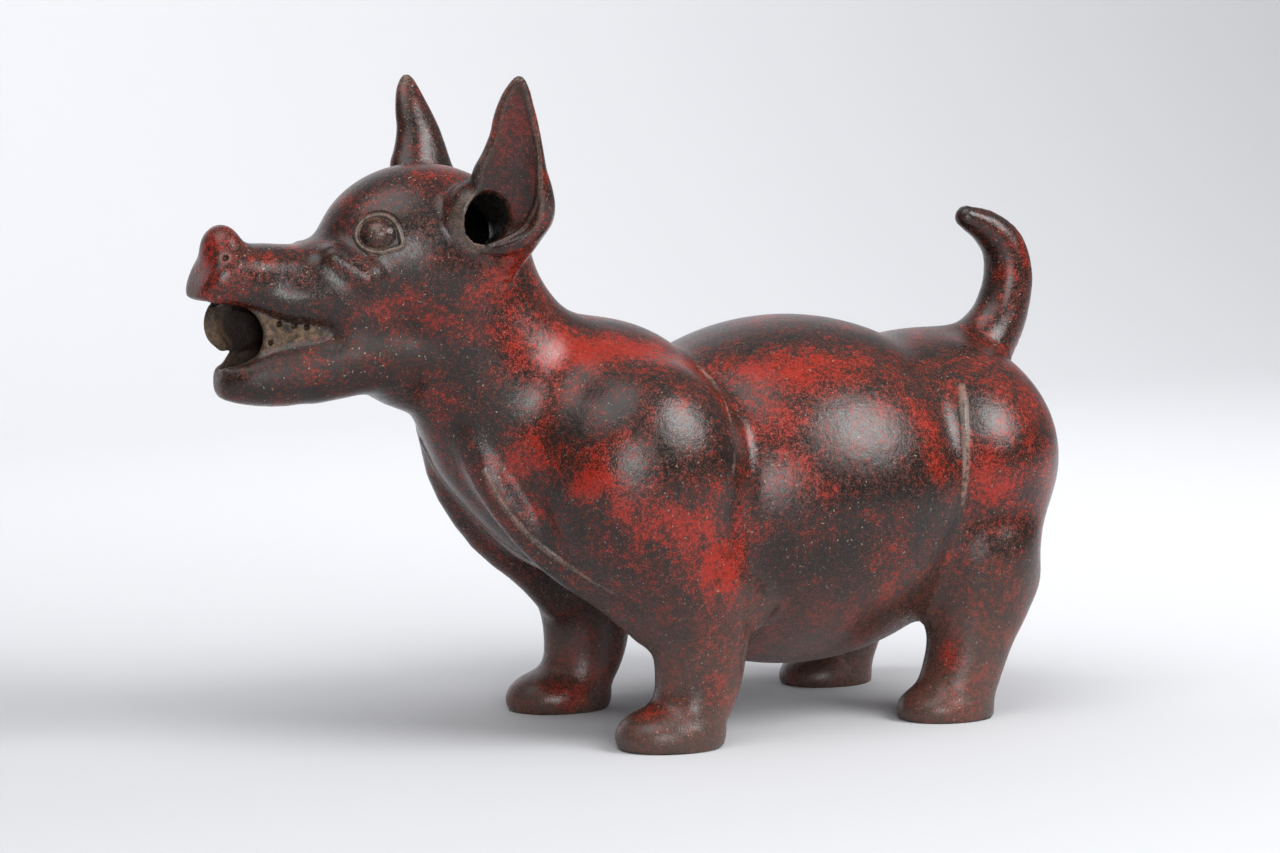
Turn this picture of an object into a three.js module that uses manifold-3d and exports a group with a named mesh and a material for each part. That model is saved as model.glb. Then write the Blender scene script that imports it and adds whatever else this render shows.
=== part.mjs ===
// A hollow burnished clay dog: a standing effigy vessel with a round barrel of a body, short stout
// legs, an open mouth, pierced ears and a sickle tail. Millimetres, +Z up. The dog looks along -X,
// its left side is -Y, and its soles stand on z = 0 with the origin in the middle of its footprint.
//
// The clay is described as one soft-edged form: every feature is a signed distance (negative
// inside the clay), and neighbours are run together the way a potter smooths one coil of clay into
// the next. The surface where the distance is zero is meshed, thinned, and then cut.

import * as THREE from "three";
import Module from "manifold-3d";

// Driving sizes

const FIGURE_HEIGHT = 280; // sole to ear tip; pose, proportions and carving are shares of it
const WALL = 6.5; // thickness of the clay round the hollow
const LEG_FILL = 30; // solid clay above each sole, where the hollow of the leg ends
const EAR_BORE = 20; // round hole at the foot of each ear, through to the hollow of the skull
const EAR_BORE_DEPTH = 37; // from the middle of the cup inwards
const MOUTH_BORE = 27; // the round notch that ends the left cheek web at the front
const TOOTH_BORE = 2.4; // punched holes in the cheek webs, four on each side
const TOOTH_DEPTH = 2.6; // below the face of the web
const NOSTRIL_BORE = 2.6;
const NOSTRIL_DEPTH = 2;
const EYE_LENGTH = 20; // across the lids, where they meet the cheek
const EYE_HEIGHT = 17.5;
const LID_WIDTH = 2.2; // from the rim of the lid to the eyeball
const LID_RISE = 0.9; // above the cheek
const EYE_RISE = 2.7;
const OUTER_TRIANGLES = 7400; // how finely the faceted skin follows the clay
const HOLLOW_TRIANGLES = 1600;

// One unit is a millimetre on a figure 280 mm high. The tables below are in units.
const UNIT = FIGURE_HEIGHT / 280;

// Form tables: the pose and proportions of the animal

const BARREL = { centre: [72, 0, 99], radii: [96, 78, 77] };
const RUMP = { centre: [143.5, 0, 111], radii: [58, 71, 56] };
const CHEST = { centre: [-24, 0, 122], radii: [57, 61, 56] };
const SHOULDER = { centre: [-20, 42, 112], radii: [46, 34, 50] };
const ELBOW = { centre: [22, 55, 60], radii: [13, 9, 13] };
const HOCK = { centre: [157, 53, 61], radii: [14, 10, 14] };
const NECK = { from: [-60, 0, 139], to: [-93, 0, 193], radii: [41, 36], flat: 0.86 };
const SKULL = { centre: [-104, 0, 206.5], radii: [46, 34, 38.5] };
const NOSE = { centre: [-192.6, 0, 212], radii: [8, 9.5, 9.5] };
const CHEEK = { centre: [-156, 12, 191], radii: [22, 10, 9.5] };
const CHEEKBONE = { from: [-150, 19.6, 209.5], to: [-139.5, 25.4, 200.8], radii: [2.8, 3] };
// The head's forms are all in front of and above this place.
const HEAD = { back: -55, low: 120 };

// Level sections up a limb: height z, middle x and y, half lengths along x and y.
const FORELEG = [
  [-8, -9, 51, 14, 15.5],
  [6, -7.5, 51, 15.5, 16.5],
  [16, -3, 51, 17.5, 17],
  [26, 0, 51, 18.7, 17],
  [42, 0.5, 51, 21, 18.5],
  [56, -2, 50, 26, 21.5],
  [72, -7, 48, 32, 25],
  [90, -12, 45, 33, 24],
  [108, -15, 42, 20, 14],
];
const HINDLEG = [
  [-8, 131, 50, 17, 16],
  [6, 130.5, 50, 17.5, 16],
  [16, 133, 50, 18.3, 16.5],
  [31, 138, 50, 19.5, 17.5],
  [46, 142.5, 49, 24, 20],
  [60, 144, 48, 26, 23.5],
  [78, 145, 45, 29, 26],
  [94, 147, 42, 28, 22],
  [110, 148, 40, 16, 12],
];
const FOREFOOT = { centre: [-13.5, 51, 5], radii: [24.5, 19, 13.5] };
const HINDFOOT = { centre: [124, 50, 4], radii: [21, 17.5, 12] };

// Upright sections along the head: x, middle z, half height, half width.
const MUZZLE = [
  [-208, 200.5, 10, 11],
  [-200, 200.5, 12, 14.5],
  [-188, 200, 13.5, 16.5],
  [-175, 198, 15.6, 17.5],
  [-161, 196, 17, 19.5],
  [-154, 195, 19.5, 21.5],
  [-146, 194, 22, 24],
  [-135, 195, 24, 26],
  [-118, 200, 24, 24],
];
const SNOUT_FRONT = { at: [-203.8, 199], lean: 25.5 };
const JAW = [
  [-195, 158, 6.6, 7.2],
  [-187, 158.5, 9.5, 13],
  [-178, 159.7, 12.2, 16.5],
  [-168, 160.8, 13.8, 18.5],
  [-160, 162, 14.5, 20],
  [-154, 163, 15.5, 21],
  [-146, 165, 16.5, 22.5],
  [-130, 166, 16, 23],
  [-118, 164, 19.5, 21],
  [-103, 160, 21, 15],
];
// The lips as x and the height of their edge. The lower one slopes down outwards.
const UPPER_LIP = [
  [-212, 195.5],
  [-205, 192.3],
  [-199, 190.6],
  [-190, 189.6],
  [-181, 187.4],
  [-172, 184.6],
  [-164, 181.6],
  [-159.5, 178],
  [-155, 170],
  [-149, 150],
];
const LOWER_LIP = [
  [-202, 161.5],
  [-193, 162.3],
  [-187, 163.9],
  [-180, 167.3],
  [-172, 170.6],
  [-164, 173],
  [-159, 175],
  [-154, 184],
  [-148, 204],
];
const LIP_SLOPE = { level: 8, at: 14, fall: 0.3 };
const WEB = [
  [-204, 178, 12.5, 8.8],
  [-196, 177.5, 13.8, 9.3],
  [-185, 177, 16, 10.8],
  [-170, 176, 16, 12.8],
  [-158, 175, 16, 15.8],
  [-148, 174, 14, 17],
];
const GAPE = [
  [-212, 178, 10, 7.5],
  [-196, 178, 14.5, 6.5],
  [-190, 177, 15, 6.8],
  [-184, 175.5, 17, 7.4],
  [-170, 175, 17.5, 9],
  [-158, 176, 17, 11],
  [-145, 178, 18, 13.5],
  [-125, 188, 22, 18],
];
// The left web ends at a round notch. The right one ends in a round lobe over a slanting edge,
// along which z - x stays the same.
const NOTCH = [-192, 176.8];
const LOBE = { centre: [-184, 181], radius: 11.5, edge: 355 };

// Curves with a thickness: x, y, z, radius.
const TAIL = [
  [150, 0, 148, 17],
  [172, 0, 155, 15.5],
  [184, 0, 167, 13],
  [189.5, 0, 180, 11.7],
  [191, 0, 191, 11],
  [188, 0, 203, 9.8],
  [179, 0, 211.5, 7.8],
  [168, 0, 216.5, 5.2],
];
const CHEST_RIDGE = [
  [-90, 18, 132, 6],
  [-80, 24, 109, 8],
  [-59, 30, 84, 9],
  [-35, 36, 66, 9],
  [-18, 42, 52, 10],
];

// The torn rim of the lobe.
const LOBE_RIM = [
  [-188.5, 8.6, 190, 2.4],
  [-192.6, 8.6, 186.5, 2.7],
  [-194, 8.4, 181, 2.9],
  [-193, 8.2, 176, 2.7],
  [-189.5, 7.8, 172, 2.2],
];

// The ear: level sections of the leaf and of the cup scooped out of its outer face, the swelling
// that joins it to the skull, and the roll that runs round the foot of the cup.
const EAR_TURN = 15;
const EAR = [
  [198, -80, 29, 3, 4],
  [206, -79, 32, 7.5, 8.5],
  [214, -78.4, 35, 11.4, 11.3],
  [221, -77.9, 37.2, 14.6, 12.2],
  [228, -79, 39, 16, 12],
  [236, -81.7, 40.7, 16.4, 11],
  [243, -83.5, 42.3, 15.2, 9.8],
  [250, -83, 44, 12.7, 8.6],
  [258, -83, 46, 10.3, 7.4],
  [264, -83.9, 47.8, 9, 6.4],
  [270, -84.7, 49.8, 7.2, 5.3],
  [275, -85, 51.7, 5.3, 4.2],
  [279, -84.9, 52.9, 3, 2.8],
  [281, -84.9, 53.3, 1.2, 1.2],
];
const CUP = [
  [211, -90.5, 43, 4, 4],
  [213.5, -90.3, 44, 6.6, 5.5],
  [217, -89.4, 45.5, 10.5, 7.2],
  [221, -88.6, 46.5, 12.7, 8],
  [228, -88.4, 47.5, 13.9, 8],
  [236, -88.3, 48.7, 13.5, 7.5],
  [243, -87.7, 50, 12.5, 6.8],
  [250, -86.3, 51, 11.2, 5.8],
  [258, -85.4, 53.4, 9.5, 5.9],
  [264, -85.8, 54.2, 8.3, 4.8],
  [270, -85.8, 55.1, 6.1, 3.9],
  [275, -85.6, 55.9, 4.1, 2.7],
  [278, -85.2, 56, 1.5, 1.6],
];
const EAR_ROOT = { centre: [-90.5, 31, 225], radii: [16.5, 13.5, 15.5] };
const EAR_ROLL = [
  [-69.5, 45, 234, 2.4],
  [-69.3, 44.6, 227, 3.4],
  [-72.6, 44, 220, 4],
  [-79.5, 42.5, 214, 4],
  [-86.5, 39.5, 211.6, 3.4],
  [-93.5, 36, 211.4, 1.8],
];
const EAR_HOLE = { mouth: [-91, 50, 226.5], towards: [-95, 14, 217] };

// The eye's middle on the cheek, with the way that it looks: turned back and tilted up. Lid and
// ball are lenses whose middle lies a little under the cheek.
const EYE = { centre: [-134, 23.9, 217.6], turn: 34, tilt: 19, sunk: 2 };
const NOSTRIL = { mouth: [-196, 12.3, 208.8], towards: [-189, 4, 206] };
const TEETH = [
  [-172.6, 181.4],
  [-166.6, 180.6],
  [-161.8, 179.7],
  [-176.3, 174],
];

// The fineness of the mesh: the grid's steps in units, and how much more closely than the round
// body the thinning follows the head, and the feet and tail.
const GRID = { head: 1.8, body: 4, across: 2.2, hollow: 4.5, room: 6 };
const CARE = { head: 2.6, ends: 2, feet: 30, tail: [150, 150] };

// Distances and blends

// The smaller of two distances, rounded off over the width k.
function soft(a, b, k) {
  const h = Math.max(k - Math.abs(a - b), 0) / k;
  return Math.min(a, b) - (h * h * h * k) / 6;
}

const softCut = (a, b, k) => -soft(-a, -b, k);

// A feature is its distance function with a ball that holds it, so that far features are skipped.
function feature(at, centre, reach) {
  return { at, centre, reach };
}

// The length of a vector, quicker than Math.hypot.
const long2 = (x, y) => Math.sqrt(x * x + y * y);
const long3 = (x, y, z) => Math.sqrt(x * x + y * y + z * z);

function away(part, x, y, z) {
  return long3(x - part.centre[0], y - part.centre[1], z - part.centre[2]) - part.reach;
}

// Adds a feature to the distance f of the clay so far.
function add(f, part, k, x, y, z) {
  return away(part, x, y, z) > f + k ? f : soft(f, part.at(x, y, z), k);
}

// Takes a feature out of it.
function take(f, part, k, x, y, z) {
  return away(part, x, y, z) > k - f ? f : softCut(f, -part.at(x, y, z), k);
}

function ellipsoid({ centre, radii }) {
  const [rx, ry, rz] = radii;
  const at = (x, y, z) => {
    const u = (x - centre[0]) / rx;
    const v = (y - centre[1]) / ry;
    const w = (z - centre[2]) / rz;
    const scaled = long3(u, v, w);
    return (scaled * (scaled - 1)) / Math.max(long3(u / rx, v / ry, w / rz), 1e-9);
  };
  return feature(at, centre, Math.max(rx, ry, rz));
}

// A ball swept along a straight line from one radius to the other, squeezed across y by flat.
function limb(from, to, radii, flat = 1) {
  const step = [to[0] - from[0], (to[1] - from[1]) / flat, to[2] - from[2]];
  const long = step[0] ** 2 + step[1] ** 2 + step[2] ** 2;
  const at = (x, y, z) => {
    const u = x - from[0];
    const v = (y - from[1]) / flat;
    const w = z - from[2];
    const t = Math.min(Math.max((u * step[0] + v * step[1] + w * step[2]) / long, 0), 1);
    const gap = long3(u - t * step[0], v - t * step[1], w - t * step[2]);
    return (gap - radii[0] - (radii[1] - radii[0]) * t) * flat;
  };
  const middle = from.map((c, i) => (c + to[i]) / 2);
  return feature(at, middle, Math.sqrt(long) / 2 + Math.max(...radii));
}

// Smooth values between the rows of a table, by the first column: a cubic through every row.
function between(rows) {
  const n = rows.length;
  const slope = rows.map((row, i) => {
    const lo = rows[Math.max(i - 1, 0)];
    const hi = rows[Math.min(i + 1, n - 1)];
    return row.map((_, c) => (hi[c] - lo[c]) / (hi[0] - lo[0]));
  });
  return (at, out) => {
    const s = Math.min(Math.max(at, rows[0][0]), rows[n - 1][0]);
    let i = 0;
    while (i < n - 2 && s > rows[i + 1][0]) i += 1;
    const h = rows[i + 1][0] - rows[i][0];
    const t = (s - rows[i][0]) / h;
    const a = t * t * (2 * t - 3) + 1;
    const b = t * (t - 1) * (t - 1) * h;
    const c = t * t * (t - 1) * h;
    for (let j = 1; j < rows[0].length; j += 1) {
      out[j] = a * rows[i][j] + b * slope[i][j] + (1 - a) * rows[i + 1][j] + c * slope[i + 1][j];
    }
    return out;
  };
}

// Level ovals stacked up z, each turned about z by turn degrees, closed at both ends.
function column(rows, turn = 0, round = 1) {
  const table = between(rows);
  const c = Math.cos((turn * Math.PI) / 180);
  const s = Math.sin((turn * Math.PI) / 180);
  const [low, high] = [rows[0][0], rows[rows.length - 1][0]];
  const row = [0, 0, 0, 0, 0];
  const at = (x, y, z) => {
    const [, mx, my, rx, ry] = table(z, row);
    const dx = x - mx;
    const dy = y - my;
    const u = (dx * c + dy * s) / rx;
    const v = (dy * c - dx * s) / ry;
    const scaled = long2(u, v);
    const slant = long2(u / rx, v / ry) / Math.max(scaled, 1e-6);
    const side = scaled < 0.3 ? (scaled - 1) * Math.min(rx, ry) : (scaled - 1) / slant;
    return softCut(side, Math.max(low - z, z - high), round);
  };
  const middle = rows[Math.floor(rows.length / 2)];
  const widest = Math.max(...rows.map((r) => Math.hypot(r[3], r[4]) + Math.abs(r[1] - middle[1])));
  const centre = [middle[1], middle[2], (low + high) / 2];
  return feature(at, centre, Math.hypot((high - low) / 2, widest + 8));
}

// Upright, slightly boxy ovals strung along x, the same on both sides of y = 0.
function loaf(rows, power = 2.3) {
  const table = between(rows);
  const [low, high] = [rows[0][0], rows[rows.length - 1][0]];
  const row = [0, 0, 0, 0];
  const at = (x, y, z) => {
    const [, mz, rz, ry] = table(x, row);
    const scaled = (Math.abs((z - mz) / rz) ** power + Math.abs(y / ry) ** power) ** (1 / power);
    return softCut((scaled - 1) * Math.min(rz, ry), Math.max(low - x, x - high), 6);
  };
  const middle = rows[Math.floor(rows.length / 2)];
  const widest = Math.max(...rows.map((r) => Math.hypot(r[2], r[3]) + Math.abs(r[1] - middle[1])));
  return feature(at, [(low + high) / 2, 0, middle[1]], Math.hypot((high - low) / 2, widest));
}

// A smooth curve with a changing radius, as a chain of short limbs.
function tube(points, count) {
  const table = between(points.map((p, i) => [i, ...p]));
  const knots = Array.from({ length: count + 1 }, (_, i) => {
    const out = table((i * (points.length - 1)) / count, [0, 0, 0, 0, 0]);
    return out.slice(1);
  });
  const links = knots.slice(1).map((to, i) => {
    const from = knots[i];
    return limb(from.slice(0, 3), to.slice(0, 3), [from[3], to[3]]);
  });
  const at = (x, y, z) => {
    let best = Infinity;
    for (const link of links) {
      if (away(link, x, y, z) < best) best = Math.min(best, link.at(x, y, z));
    }
    return best;
  };
  const centre = [0, 1, 2].map((c) => knots.reduce((sum, k) => sum + k[c], 0) / knots.length);
  const reach = Math.max(...knots.map((k) => k[3] + Math.hypot(...centre.map((c, i) => c - k[i]))));
  return feature(at, centre, reach);
}

// The animal, in units

const barrel = ellipsoid(BARREL);
const rump = ellipsoid(RUMP);
const chest = ellipsoid(CHEST);
const shoulder = ellipsoid(SHOULDER);
const elbow = ellipsoid(ELBOW);
const hock = ellipsoid(HOCK);
const neck = limb(NECK.from, NECK.to, NECK.radii, NECK.flat);
const skull = ellipsoid(SKULL);
const nose = ellipsoid(NOSE);
const cheek = ellipsoid(CHEEK);
const cheekbone = limb(CHEEKBONE.from, CHEEKBONE.to, CHEEKBONE.radii);
const foreleg = column(FORELEG, 0, 10);
const hindleg = column(HINDLEG, 0, 10);
const forefoot = ellipsoid(FOREFOOT);
const hindfoot = ellipsoid(HINDFOOT);
const muzzle = loaf(MUZZLE);
const jaw = loaf(JAW);
const upperLip = between(UPPER_LIP);
const lowerLip = between(LOWER_LIP);
const web = loaf(WEB, 2.6);
const gape = loaf(GAPE);
const tail = tube(TAIL, 24);
const chestRidge = tube(CHEST_RIDGE, 10);
const lobeRim = tube(LOBE_RIM, 12);
const ear = column(EAR, EAR_TURN);
const cup = column(CUP, EAR_TURN);
const earRoot = ellipsoid(EAR_ROOT);
const earRoll = tube(EAR_ROLL, 14);
const radians = (degrees) => (degrees * Math.PI) / 180;

// Body, neck, skull and legs: what the hollow follows.
function trunk(x, y, z) {
  const side = Math.abs(y);
  let f = barrel.at(x, y, z);
  f = add(f, rump, 9, x, y, z);
  f = add(f, chest, 9, x, y, z);
  f = add(f, shoulder, 12, x, side, z);
  f = add(f, foreleg, 15, x, side, z);
  f = add(f, hindleg, 14, x, side, z);
  f = add(f, neck, 24, x, y, z);
  return add(f, skull, 14, x, y, z);
}

// The snout's front is cut to a slanting plane that leans back towards the nose, and its underside
// along the upper lip.
const lip = [0, 0];
const lean = radians(SNOUT_FRONT.lean);

function snout(x, y, z) {
  const [frontX, frontZ] = SNOUT_FRONT.at;
  const front = (z - frontZ) * Math.sin(lean) - (x - frontX) * Math.cos(lean);
  const under = upperLip(x, lip)[1] - z;
  return softCut(softCut(muzzle.at(x, y, z), front, 8), under * 0.92, 1.6);
}

const snoutPart = feature(snout, muzzle.centre, muzzle.reach);

// The lower jaw's top is cut along the lower lip.
function chin(x, y, z) {
  const outwards = Math.max(Math.abs(y), LIP_SLOPE.level) - LIP_SLOPE.at;
  const over = z - lowerLip(x, lip)[1] + LIP_SLOPE.fall * outwards;
  return softCut(jaw.at(x, y, z), over * 0.92, 1.4);
}

const chinPart = feature(chin, jaw.centre, jaw.reach);

// A lens square to the cheek, of a length and height where it leaves it.
function lens(length, height, rise) {
  const [turn, tilt] = [radians(EYE.turn), radians(EYE.tilt)];
  const wider = 1 / Math.sqrt(1 - (EYE.sunk / (EYE.sunk + rise)) ** 2);
  const [halfLength, halfHeight] = [(length / 2) * wider, (height / 2) * wider];
  const at = (x, y, z) => {
    const dx = x - EYE.centre[0];
    const dy = y - EYE.centre[1];
    const dz = z - EYE.centre[2];
    const along = dx * Math.cos(turn) + dy * Math.sin(turn);
    const level = dy * Math.cos(turn) - dx * Math.sin(turn);
    const off = level * Math.cos(tilt) + dz * Math.sin(tilt);
    const up = dz * Math.cos(tilt) - level * Math.sin(tilt);
    const v = (off + EYE.sunk) / (rise + EYE.sunk);
    return (long3(along / halfLength, v, up / halfHeight) - 1) * (rise + EYE.sunk);
  };
  return feature(at, EYE.centre, length);
}

const lid = lens(EYE_LENGTH / UNIT, EYE_HEIGHT / UNIT, LID_RISE / UNIT);
const eyeball = lens(
  (EYE_LENGTH - 2 * LID_WIDTH) / UNIT,
  (EYE_HEIGHT - 2 * LID_WIDTH) / UNIT,
  EYE_RISE / UNIT,
);

// The cheek web on each side closes the back of the mouth. The notch is a circle carried on
// forwards.
function cheekWeb(x, y, z) {
  let cut;
  if (y > 0) {
    const round = long2(x - LOBE.centre[0], z - LOBE.centre[1]) - LOBE.radius;
    cut = Math.min(round, (z - x - LOBE.edge) * Math.SQRT1_2);
  } else {
    cut = MOUTH_BORE / 2 / UNIT - long2(Math.max(x - NOTCH[0], 0), z - NOTCH[1]);
  }
  return softCut(web.at(x, y, z), cut, 1.5);
}

const webPart = feature(cheekWeb, web.centre, web.reach);

// The whole outside of the clay, as yet without its flat soles.
function clay(x, y, z) {
  const side = Math.abs(y);
  let f = trunk(x, y, z);
  f = add(f, chestRidge, 10, x, side, z);
  f = add(f, elbow, 8, x, side, z);
  f = add(f, hock, 8, x, side, z);
  f = add(f, forefoot, 8, x, side, z);
  f = add(f, hindfoot, 8, x, side, z);
  f = add(f, tail, 9, x, y, z);
  if (x < HEAD.back && z > HEAD.low) {
    f = add(f, snoutPart, 9, x, y, z);
    f = add(f, cheek, 8, x, side, z);
    f = add(f, cheekbone, 6.5, x, side, z);
    f = add(f, nose, 8, x, y, z);
    f = add(f, chinPart, 5, x, y, z);
    f = add(f, webPart, 1.6, x, y, z);
    f = take(f, gape, 2, x, y, z);
    f = add(f, lobeRim, 2, x, y, z);
    f = add(f, lid, 1, x, side, z);
    f = add(f, eyeball, 0.6, x, side, z);
    f = add(f, ear, 5, x, side, z);
    f = add(f, earRoot, 7, x, side, z);
    f = take(f, cup, 1.6, x, side, z);
    f = add(f, earRoll, 2.5, x, side, z);
  }
  return f;
}

// The hollow keeps one wall away from the outside and stops above the soles.
function hollow(x, y, z) {
  return softCut(trunk(x, y, z) + WALL / UNIT, LEG_FILL / UNIT - z, 4);
}

// Meshing

// Evenly spaced numbers from each mark to the next, with the step given for that stretch.
function spaced(marks, steps) {
  const out = [marks[0]];
  steps.forEach((step, i) => {
    const count = Math.ceil((marks[i + 1] - marks[i]) / step);
    for (let k = 1; k <= count; k += 1) {
      out.push(marks[i] + ((marks[i + 1] - marks[i]) * k) / count);
    }
  });
  return out;
}

// Distances at all grid nodes. Blocks that the surface can't reach only get their sign.
function sample(field, xs, ys, zs, block = 5) {
  const values = new Float32Array(xs.length * ys.length * zs.length);
  for (let i = 0; i < xs.length; i += block) {
    for (let j = 0; j < ys.length; j += block) {
      for (let k = 0; k < zs.length; k += block) {
        const [i1, j1, k1] = [i + block, j + block, k + block];
        const ie = Math.min(i1, xs.length - 1);
        const je = Math.min(j1, ys.length - 1);
        const ke = Math.min(k1, zs.length - 1);
        const middle = [(xs[i] + xs[ie]) / 2, (ys[j] + ys[je]) / 2, (zs[k] + zs[ke]) / 2];
        const radius = Math.hypot(xs[ie] - middle[0], ys[je] - middle[1], zs[ke] - middle[2]);
        const far = field(...middle);
        const near = Math.abs(far) < radius * 1.4 + 3;
        for (let a = i; a < Math.min(i1, xs.length); a += 1) {
          for (let b = j; b < Math.min(j1, ys.length); b += 1) {
            for (let c = k; c < Math.min(k1, zs.length); c += 1) {
              const value = near ? field(xs[a], ys[b], zs[c]) : far;
              values[(a * ys.length + b) * zs.length + c] = value === 0 ? 1e-5 : value;
            }
          }
        }
      }
    }
  }
  return values;
}

// The corners of a grid cell, its edges, and its faces as loops of edges seen from outside.
const CORNERS = [0, 1, 2, 3, 4, 5, 6, 7].map((n) => [n & 1, (n >> 1) & 1, (n >> 2) & 1]);
const EDGES = [];
for (let a = 0; a < 8; a += 1) {
  for (let axis = 0; axis < 3; axis += 1) {
    if (!CORNERS[a][axis]) EDGES.push({ a, b: a | (1 << axis), axis });
  }
}
const FACES = [];
for (let axis = 0; axis < 3; axis += 1) {
  for (const end of [0, 1]) {
    const [u, v] = [1 << ((axis + 1) % 3), 1 << ((axis + 2) % 3)];
    const base = end ? 1 << axis : 0;
    const loop = [base, base | u, base | u | v, base | v];
    if (!end) loop.reverse();
    const edges = loop.map((a, i) => {
      const b = loop[(i + 1) % 4];
      return EDGES.findIndex((e) => (e.a === a && e.b === b) || (e.a === b && e.b === a));
    });
    FACES.push({ loop, edges });
  }
}
const SHARE_FACE = EDGES.map((_, a) =>
  EDGES.map((_unused, b) => FACES.some((f) => f.edges.includes(a) && f.edges.includes(b))),
);

// The zero surface of a field over a grid, as one closed triangle mesh facing out.
function surface(field, xs, ys, zs) {
  const [nx, ny, nz] = [xs.length, ys.length, zs.length];
  const values = sample(field, xs, ys, zs);
  const stride = [ny * nz, nz, 1];
  const offset = CORNERS.map((c) => c[0] * stride[0] + c[1] * stride[1] + c[2]);
  const made = new Map();
  const points = [];
  const faces = [];
  const corner = new Float64Array(8);
  const next = new Int8Array(12);

  const crossing = (cell, i, j, k, edge) => {
    const { a, b, axis } = EDGES[edge];
    const key = (cell + offset[a]) * 3 + axis;
    let id = made.get(key);
    if (id === undefined) {
      const t = corner[a] / (corner[a] - corner[b]);
      const [ca, cb] = [CORNERS[a], CORNERS[b]];
      id = points.length / 3;
      points.push(
        xs[i + ca[0]] + t * (xs[i + cb[0]] - xs[i + ca[0]]),
        ys[j + ca[1]] + t * (ys[j + cb[1]] - ys[j + ca[1]]),
        zs[k + ca[2]] + t * (zs[k + cb[2]] - zs[k + ca[2]]),
      );
      made.set(key, id);
    }
    return id;
  };

  for (let i = 0; i < nx - 1; i += 1) {
    for (let j = 0; j < ny - 1; j += 1) {
      for (let k = 0; k < nz - 1; k += 1) {
        const cell = (i * ny + j) * nz + k;
        let inside = 0;
        for (let c = 0; c < 8; c += 1) {
          corner[c] = values[cell + offset[c]];
          if (corner[c] < 0) inside += 1;
        }
        if (inside === 0 || inside === 8) continue;
        next.fill(-1);
        for (const { loop, edges } of FACES) {
          for (let s = 0; s < 4; s += 1) {
            const enters = corner[loop[s]] > 0 && corner[loop[(s + 1) % 4]] < 0;
            if (!enters) continue;
            let e = (s + 1) % 4;
            while (corner[loop[(e + 1) % 4]] < 0) e = (e + 1) % 4;
            next[edges[s]] = edges[e];
          }
        }
        for (let start = 0; start < 12; start += 1) {
          if (next[start] < 0) continue;
          const ring = [];
          for (let e = start; next[e] >= 0; ) {
            ring.push(e);
            const step = next[e];
            next[e] = -1;
            e = step;
          }
          const ids = ring.map((e) => crossing(cell, i, j, k, e));
          if (ids.length === 3) {
            faces.push(...ids);
          } else if (ids.length === 4 && !SHARE_FACE[ring[0]][ring[2]]) {
            faces.push(ids[0], ids[1], ids[2], ids[0], ids[2], ids[3]);
          } else {
            const hub = points.length / 3;
            for (let c = 0; c < 3; c += 1) {
              points.push(ids.reduce((sum, id) => sum + points[id * 3 + c], 0) / ids.length);
            }
            ids.forEach((id, n) => faces.push(id, ids[(n + 1) % ids.length], hub));
          }
        }
      }
    }
  }
  return { points: Float64Array.from(points), faces: Int32Array.from(faces) };
}

// Slides every point along the field's slope on to the zero surface.
function settle(mesh, field, rounds = 2) {
  const { points } = mesh;
  const e = 0.05;
  for (let n = 0; n < points.length; n += 3) {
    for (let round = 0; round < rounds; round += 1) {
      const [x, y, z] = [points[n], points[n + 1], points[n + 2]];
      const f = field(x, y, z);
      const gx = (field(x + e, y, z) - f) / e;
      const gy = (field(x, y + e, z) - f) / e;
      const gz = (field(x, y, z + e) - f) / e;
      const steep = gx * gx + gy * gy + gz * gz;
      if (steep < 0.05) break;
      const move = Math.min(Math.max(f / steep, -1.2), 1.2);
      points[n] -= gx * move;
      points[n + 1] -= gy * move;
      points[n + 2] -= gz * move;
    }
  }
  return mesh;
}

// Thinning: the edge whose loss changes the surface least is closed up, again and again

// A queue that gives back its cheapest entry.
class Queue {
  constructor() {
    this.items = [];
  }

  push(item) {
    const { items } = this;
    let n = items.push(item) - 1;
    while (n > 0) {
      const up = (n - 1) >> 1;
      if (items[up].cost <= item.cost) break;
      items[n] = items[up];
      n = up;
    }
    items[n] = item;
  }

  pop() {
    const { items } = this;
    const top = items[0];
    const item = items.pop();
    if (!items.length) return top;
    let n = 0;
    for (;;) {
      let down = 2 * n + 1;
      if (down >= items.length) break;
      if (down + 1 < items.length && items[down + 1].cost < items[down].cost) down += 1;
      if (items[down].cost >= item.cost) break;
      items[n] = items[down];
      n = down;
    }
    items[n] = item;
    return top;
  }
}

// Each point keeps the sum of squared distances to the planes of its faces, as ten numbers, with a
// little pull to where it was, which keeps flat places evenly meshed.
function planeErrors(points, faces, care) {
  const errors = new Float64Array((points.length / 3) * 10);
  const pull = 0.003;
  const [a, b, c, n] = [0, 1, 2, 3].map(() => new THREE.Vector3());
  for (let f = 0; f < faces.length; f += 3) {
    a.fromArray(points, faces[f] * 3);
    b.fromArray(points, faces[f + 1] * 3).sub(a);
    c.fromArray(points, faces[f + 2] * 3).sub(a);
    n.crossVectors(b, c);
    const area = n.length() / 2;
    if (area < 1e-12) continue;
    n.normalize();
    const d = -n.dot(a);
    const weight = area * care(a.x, a.y, a.z);
    for (let v = 0; v < 3; v += 1) {
      const at = faces[f + v];
      const [x, y, z] = [points[at * 3], points[at * 3 + 1], points[at * 3 + 2]];
      const terms = [
        n.x * n.x + pull,
        n.x * n.y,
        n.x * n.z,
        n.x * d - pull * x,
        n.y * n.y + pull,
        n.y * n.z,
        n.y * d - pull * y,
        n.z * n.z + pull,
        n.z * d - pull * z,
        d * d + pull * (x * x + y * y + z * z),
      ];
      for (let t = 0; t < 10; t += 1) errors[at * 10 + t] += terms[t] * weight;
    }
  }
  return errors;
}

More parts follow.
